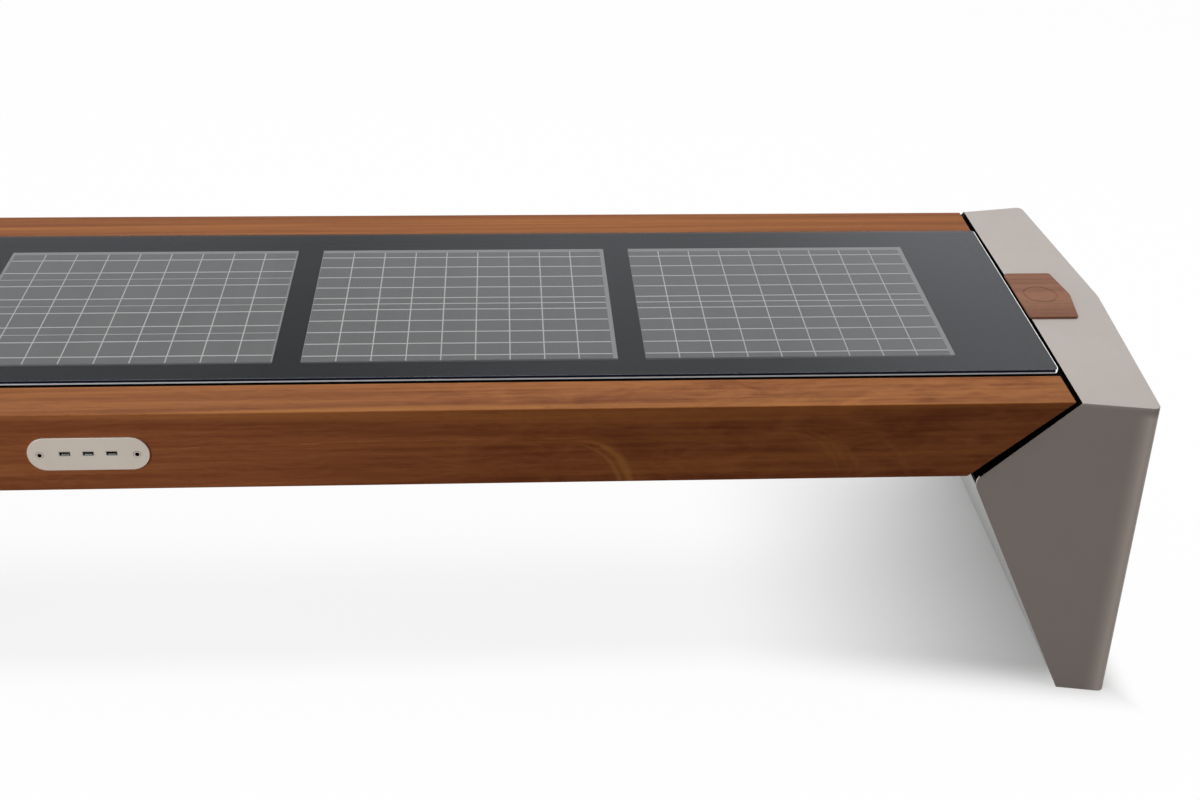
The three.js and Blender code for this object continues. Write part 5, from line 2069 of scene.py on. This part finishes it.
@dataclass
class PlateScrew:
    """A countersunk security screw: a round recess with a pin in its middle.

    Attributes:
        end: The end of the plate that it holds.
        palette: The finishes.
        head_radius: The radius of its head.
        head_length: The length of its head.
        recess_radius: The radius of the recess.
        recess_depth: The depth of the recess.
        pin_radius: The radius of the pin.
        pin_share: How much of the recess's depth the pin fills.
        shank_radius: The radius of the shank.
        tip_gap: How far the shank ends before the bottom of its hole.
        edge_round: The round of its edges.
        face: The Y of its face, known once it is built.
        centre: The X and Z of its middle, known once it is built.
    """

    end: End
    palette: Palette
    head_radius: float = 0.0043
    head_length: float = 0.0022
    recess_radius: float = 0.0026
    recess_depth: float = 0.0016
    pin_radius: float = 0.0008
    pin_share: float = 0.8
    shank_radius: float = 0.0019
    tip_gap: float = 0.0002
    edge_round: float = 0.00018
    face: float = field(init=False)
    centre: tuple[float, float] = field(init=False)

    def build(self) -> Piece:
        """Build the screw.

        Returns:
            The screw.
        """
        low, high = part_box(f"plate_screw_{self.end.word}")
        x, z = (low.x + high.x) / 2, (low.z + high.z) / 2
        self.face = low.y
        self.centre = (x, z)
        length = high.y - low.y
        screw = add_bar("head", (x, low.y + length / 2, z), self.head_radius, length, 32)
        with Shaping(screw) as shaping:
            shaping.pick(Part.FACE, lambda f: f.normal.y > ALONG)
            share = self.shank_radius / self.head_radius
            bpy.ops.transform.resize(value=(share, 1, share))
            shaping.move(y=self.head_length - length)
            shaping.draw_out(y=length - self.head_length - self.tip_gap)
            shaping.pick(Part.FACE, lambda f: f.normal.y < -ALONG)
            shaping.inset(self.head_radius - self.recess_radius)
            shaping.draw_out(y=self.recess_depth)
            shaping.inset(self.recess_radius - self.pin_radius)
            shaping.draw_out(y=-self.recess_depth * self.pin_share)
        limit = {"limit_method": "ANGLE", "angle_limit": math.radians(50)}
        finish_with(screw, "BEVEL", width=self.edge_round, segments=2, **limit)
        screw.name = f"security_screw_{self.end.word}"
        return screw

    def dress(self, screw: Piece) -> None:
        """Give the screw the plate's finish, painted shade in its recess, and its place in the frame.

        Args:
            screw: The screw.
        """
        finishes = [self.palette.plate_steel, self.palette.deep_shade]
        assign_faces(screw, finishes, lambda face: int(self._in_recess(face)))
        soften(screw)
        hand_over(screw, f"plate_screw_{self.end.word}")

    def _in_recess(self, face: bpy.types.MeshPolygon) -> bool:
        """Whether a face is the recess's wall or bottom, or its pin."""
        away = math.hypot(face.center.x - self.centre[0], face.center.z - self.centre[1])
        return away < self.recess_radius + HAIR and face.center.y < self.face + 1.6 * self.recess_depth


@dataclass
class UsbSocket:
    """A USB socket: a rolled metal shell with a white tongue and its gold contacts.

    Attributes:
        third: Its place in the plate.
        palette: The finishes.
        corner: The round of the shell's corners.
        wall: The thickness of the shell.
        mouth_depth: How deep the mouth is.
        tongue_width: The width of the tongue.
        tongue_height: The height of the tongue.
        tongue_recess: How far the tongue lies behind the mouth's rim.
        tongue_lift: How far it lies above the shell's floor.
        tongue_round: The round of its front edges.
        white_depth: How deep its white front goes.
        contacts: The number of contacts.
        contact_pitch: The distance between two contacts.
        contact_width: The width of a contact.
        contact_start: How far behind the tongue's front the contacts start.
        contact_end: How far behind it they end.
        contact_seat: How deep they sit in the tongue.
        contact_rise: How far they stand out of it.
        contact_round: The round of their upper edges.
    """

    third: Third
    palette: Palette
    corner: float = 0.0006
    wall: float = 0.0004
    mouth_depth: float = 0.0115
    tongue_width: float = 0.0092
    tongue_height: float = 0.0013
    tongue_recess: float = 0.0006
    tongue_lift: float = 0.0001
    tongue_round: float = 0.0004
    white_depth: float = 0.0002
    contacts: int = 4
    contact_pitch: float = 0.0023
    contact_width: float = 0.0011
    contact_start: float = 0.0012
    contact_end: float = 0.008
    contact_seat: float = 0.0001
    contact_rise: float = 0.00018
    contact_round: float = 0.00008

    def build(self) -> Piece:
        """Build the socket.

        Returns:
            The socket.
        """
        node = f"usb_socket_{self.third.word}"
        low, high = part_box(node)
        shell = add_block(node + "_shell", low, high)
        with Shaping(shell) as shaping:
            shaping.round_edges(lambda e: runs_along(e, 1), self.corner, steps=3)
            shaping.pick(Part.FACE, lambda f: f.normal.y < -ALONG)
            shaping.inset(self.wall)
            shaping.draw_out(y=self.mouth_depth)
        # Painted shade: the inside of the mouth is near black
        metal = [self.palette.zinc_steel, self.palette.deep_shade]
        assign_faces(shell, metal, lambda face: int(self._is_inside(face, low)))
        centre = (low.x + high.x) / 2
        base = low.z + self.wall + self.tongue_lift
        front = low.y + self.tongue_recess
        tongue = add_block(
            "tongue",
            (centre - self.tongue_width / 2, front, base),
            (centre + self.tongue_width / 2, low.y + self.mouth_depth, base + self.tongue_height),
        )
        with Shaping(tongue) as shaping:
            shaping.round_edges(lambda e: middle(e).y < front + HAIR, self.tongue_round, steps=2)
        # Painted shade: only the tongue's front is white, the rest of it black
        plastic = [self.palette.white_plastic, self.palette.black_plastic]
        assign_faces(tongue, plastic, lambda face: 0 if face.center.y < front + self.white_depth else 1)
        strips = [self._contact(number, centre, front, base) for number in range(self.contacts)]
        return joined([*strips, tongue, shell], node + "_port")

    def _is_inside(self, face: bpy.types.MeshPolygon, low: Vector) -> bool:
        """Whether a face of the shell lies inside its mouth."""
        inside = low.y + self.mouth_depth / 3 < face.center.y < low.y + self.mouth_depth + HAIR
        return inside and abs(face.center.z - low.z) > self.wall / 2

    def _contact(self, number: int, centre: float, front: float, base: float) -> Piece:
        """Lay one gold contact on top of the tongue.

        Args:
            number: The number of the contact.
            centre: The X of the tongue's middle.
            front: The Y of its front.
            base: The height of its lower side.

        Returns:
            The contact.
        """
        x = centre + (number - (self.contacts - 1) / 2) * self.contact_pitch
        top = base + self.tongue_height
        strip = add_block(
            "contact",
            (x - self.contact_width / 2, front + self.contact_start, top - self.contact_seat),
            (x + self.contact_width / 2, front + self.contact_end, top + self.contact_rise),
        )
        with Shaping(strip) as shaping:
            shaping.round_edges(lambda e: middle(e).z > top, self.contact_round, steps=1)
        assign_faces(strip, [self.palette.contact_gold])
        return strip

    def dress(self, socket: Piece) -> None:
        """Give the socket its place in the frame."""
        soften(socket, degrees=30)
        hand_over(socket, f"usb_socket_{self.third.word}")


@dataclass
class CarriedOver:
    """The nodes of the frame that keep their shape and get finer finishes.

    Attributes:
        palette: The finishes.
    """

    palette: Palette

    def dress(self) -> None:
        """Give each node that no new piece stands for the finish of its slot, and report it."""
        for part in frame["record"]["subparts"]:
            name = part["node"]
            node = frame["nodes"][name]
            if node.hide_render:
                continue
            finish = self._own_finish(name) or self.palette.of_slot(part["material_slot"])
            if node.material_slots:
                node.material_slots[0].material = finish
            else:
                node.data.materials.append(finish)
            log.info("finished %s with %s", name, finish.name)

    def _own_finish(self, name: str) -> Material | None:
        """The finish of a node that looks unlike the rest of its slot, or that is given painted shade.

        Args:
            name: The node's name.

        Returns:
            The finish, or none if its slot's finish suits it.
        """
        if name in ("panel_carrier", "glass_gasket"):
            return self.palette.deck_black
        # Painted shade: the frame parts seen in the gaps beside the legs are near black
        if name.startswith(("beam_spacer", "leg_bracket", "frame_end_plate")):
            return self.palette.deep_shade
        return self.palette.polished_steel if name.startswith("leg_inner_panel") else None


# Studio

@dataclass(frozen=True)
class Lamp:
    """A soft rectangular lamp.

    Attributes:
        name: Its name.
        place: Where it hangs.
        aim: What it points at.
        size: Its width and height.
        power: Its power in watts.
    """

    name: str
    place: Point
    aim: Point
    size: tuple[float, float]
    power: float

    def add(self) -> None:
        """Add the lamp to the scene."""
        data = bpy.data.lights.new(self.name, "AREA")
        data.shape = "RECTANGLE"
        data.size, data.size_y = self.size
        data.energy = self.power
        lamp = bpy.data.objects.new(self.name, data)
        bpy.context.scene.collection.objects.link(lamp)
        lamp.location = self.place
        lamp.rotation_euler = (Vector(self.aim) - Vector(self.place)).to_track_quat("-Z", "Y").to_euler()


@dataclass(frozen=True)
class Studio:
    """The camera, the lamps, the world and the floor.

    Attributes:
        camera_place: Where the camera stands.
        yaw: How far it is turned to the side, in degrees.
        pitch: How far it looks down.
        roll: How far it is tilted.
        lens: Its focal length in millimetres.
        sensor: The width of its sensor in millimetres.
        world_light: How strong the light from all sides is.
        floor_reach: How far the floor reaches to each side.
        lamps: The lamps.
    """

    camera_place: Point = (0.0559, -1.9152, 1.4270)
    yaw: float = -3.98
    pitch: float = 30.66
    roll: float = 1.34
    lens: float = 47.66
    sensor: float = 36.0
    world_light: float = 0.13
    floor_reach: float = 30.0
    lamps: tuple[Lamp, ...] = (
        Lamp("overhead", (0.1, 0.55, 2.9), (0, 0.05, 0.4), (3.4, 2.6), 78),
        Lamp("front_left", (-2.0, -2.2, 1.3), (-0.6, -0.2, 0.35), (1.3, 1.3), 27),
        Lamp("right", (3.0, 0.2, 1.3), (0.9, 0, 0.3), (1.2, 1.2), 8),
    )

    def build(self) -> None:
        """Set up the whole studio."""
        bpy.context.scene.view_settings.view_transform = "Standard"
        self._add_camera()
        self._add_world()
        self._add_floor()
        for lamp in self.lamps:
            lamp.add()

    def _add_camera(self) -> None:
        """Put the camera where the photograph was taken from."""
        data = bpy.data.cameras.new("camera")
        data.lens = self.lens
        data.sensor_width = self.sensor
        data.sensor_fit = "HORIZONTAL"
        camera = bpy.data.objects.new("camera", data)
        bpy.context.scene.collection.objects.link(camera)
        yaw, pitch, roll = (math.radians(angle) for angle in (self.yaw, self.pitch, self.roll))
        base = Matrix(((1, 0, 0), (0, 0, -1), (0, 1, 0)))
        about_view = Matrix.Rotation(roll, 3, "Z")
        about_side = Matrix.Rotation(pitch, 3, "X")
        about_up = Matrix.Rotation(-yaw, 3, "Z")
        right, down, ahead = about_view @ about_side @ base @ about_up
        turn = Matrix((right, -down, -ahead)).transposed()
        camera.matrix_world = Matrix.Translation(self.camera_place) @ turn.to_4x4()
        bpy.context.scene.camera = camera

    def _add_world(self) -> None:
        """Light the scene weakly from all sides, and show white behind it."""
        tree = Tree(bpy.data.worlds.new("studio"))
        lit = tree.node("ShaderNodeBackground", None, {"Color": WHITE, "Strength": self.world_light})
        shown = tree.node("ShaderNodeBackground", None, {"Color": WHITE})
        sky = tree.either(tree.seen(), lit, shown)
        bpy.context.scene.world = tree.finished(sky, "ShaderNodeOutputWorld")

    def _add_floor(self) -> None:
        """Lay the floor, which keeps the bench's real shadow only in part, under painted light."""
        select_only([])
        bpy.ops.mesh.primitive_plane_add(size=2 * self.floor_reach, location=(0, 0, 0))
        floor = settle(bpy.context.object, "floor")
        floor.data.materials.append(PaperFloor().material())


# Assembly

def build_pieces(palette: Palette) -> None:
    """Build every new piece, dress it and put it in the frame.

    Args:
        palette: The finishes.
    """
    makers = [
        SocketBeam("front_beam", palette.front_wood),
        Beam("rear_beam", palette.rear_wood),
        *(Leg(end, palette) for end in End),
        CoverGlass(palette),
        *(SolarPanel(third, palette) for third in Third),
        SocketPlate(palette),
        *(PlateScrew(end, palette) for end in End),
        *(UsbSocket(third, palette) for third in Third),
        *(ChargingPad(end, palette.pad_wood) for end in End),
    ]
    for maker in makers:
        maker.dress(maker.build())


def main() -> None:
    """Dress the bench and set up the studio."""
    logging.basicConfig(level=logging.INFO, format="%(name)s: %(message)s")
    palette = Palette.make()
    build_pieces(palette)
    CarriedOver(palette).dress()
    Studio().build()


if __name__ == "__main__":
    main()
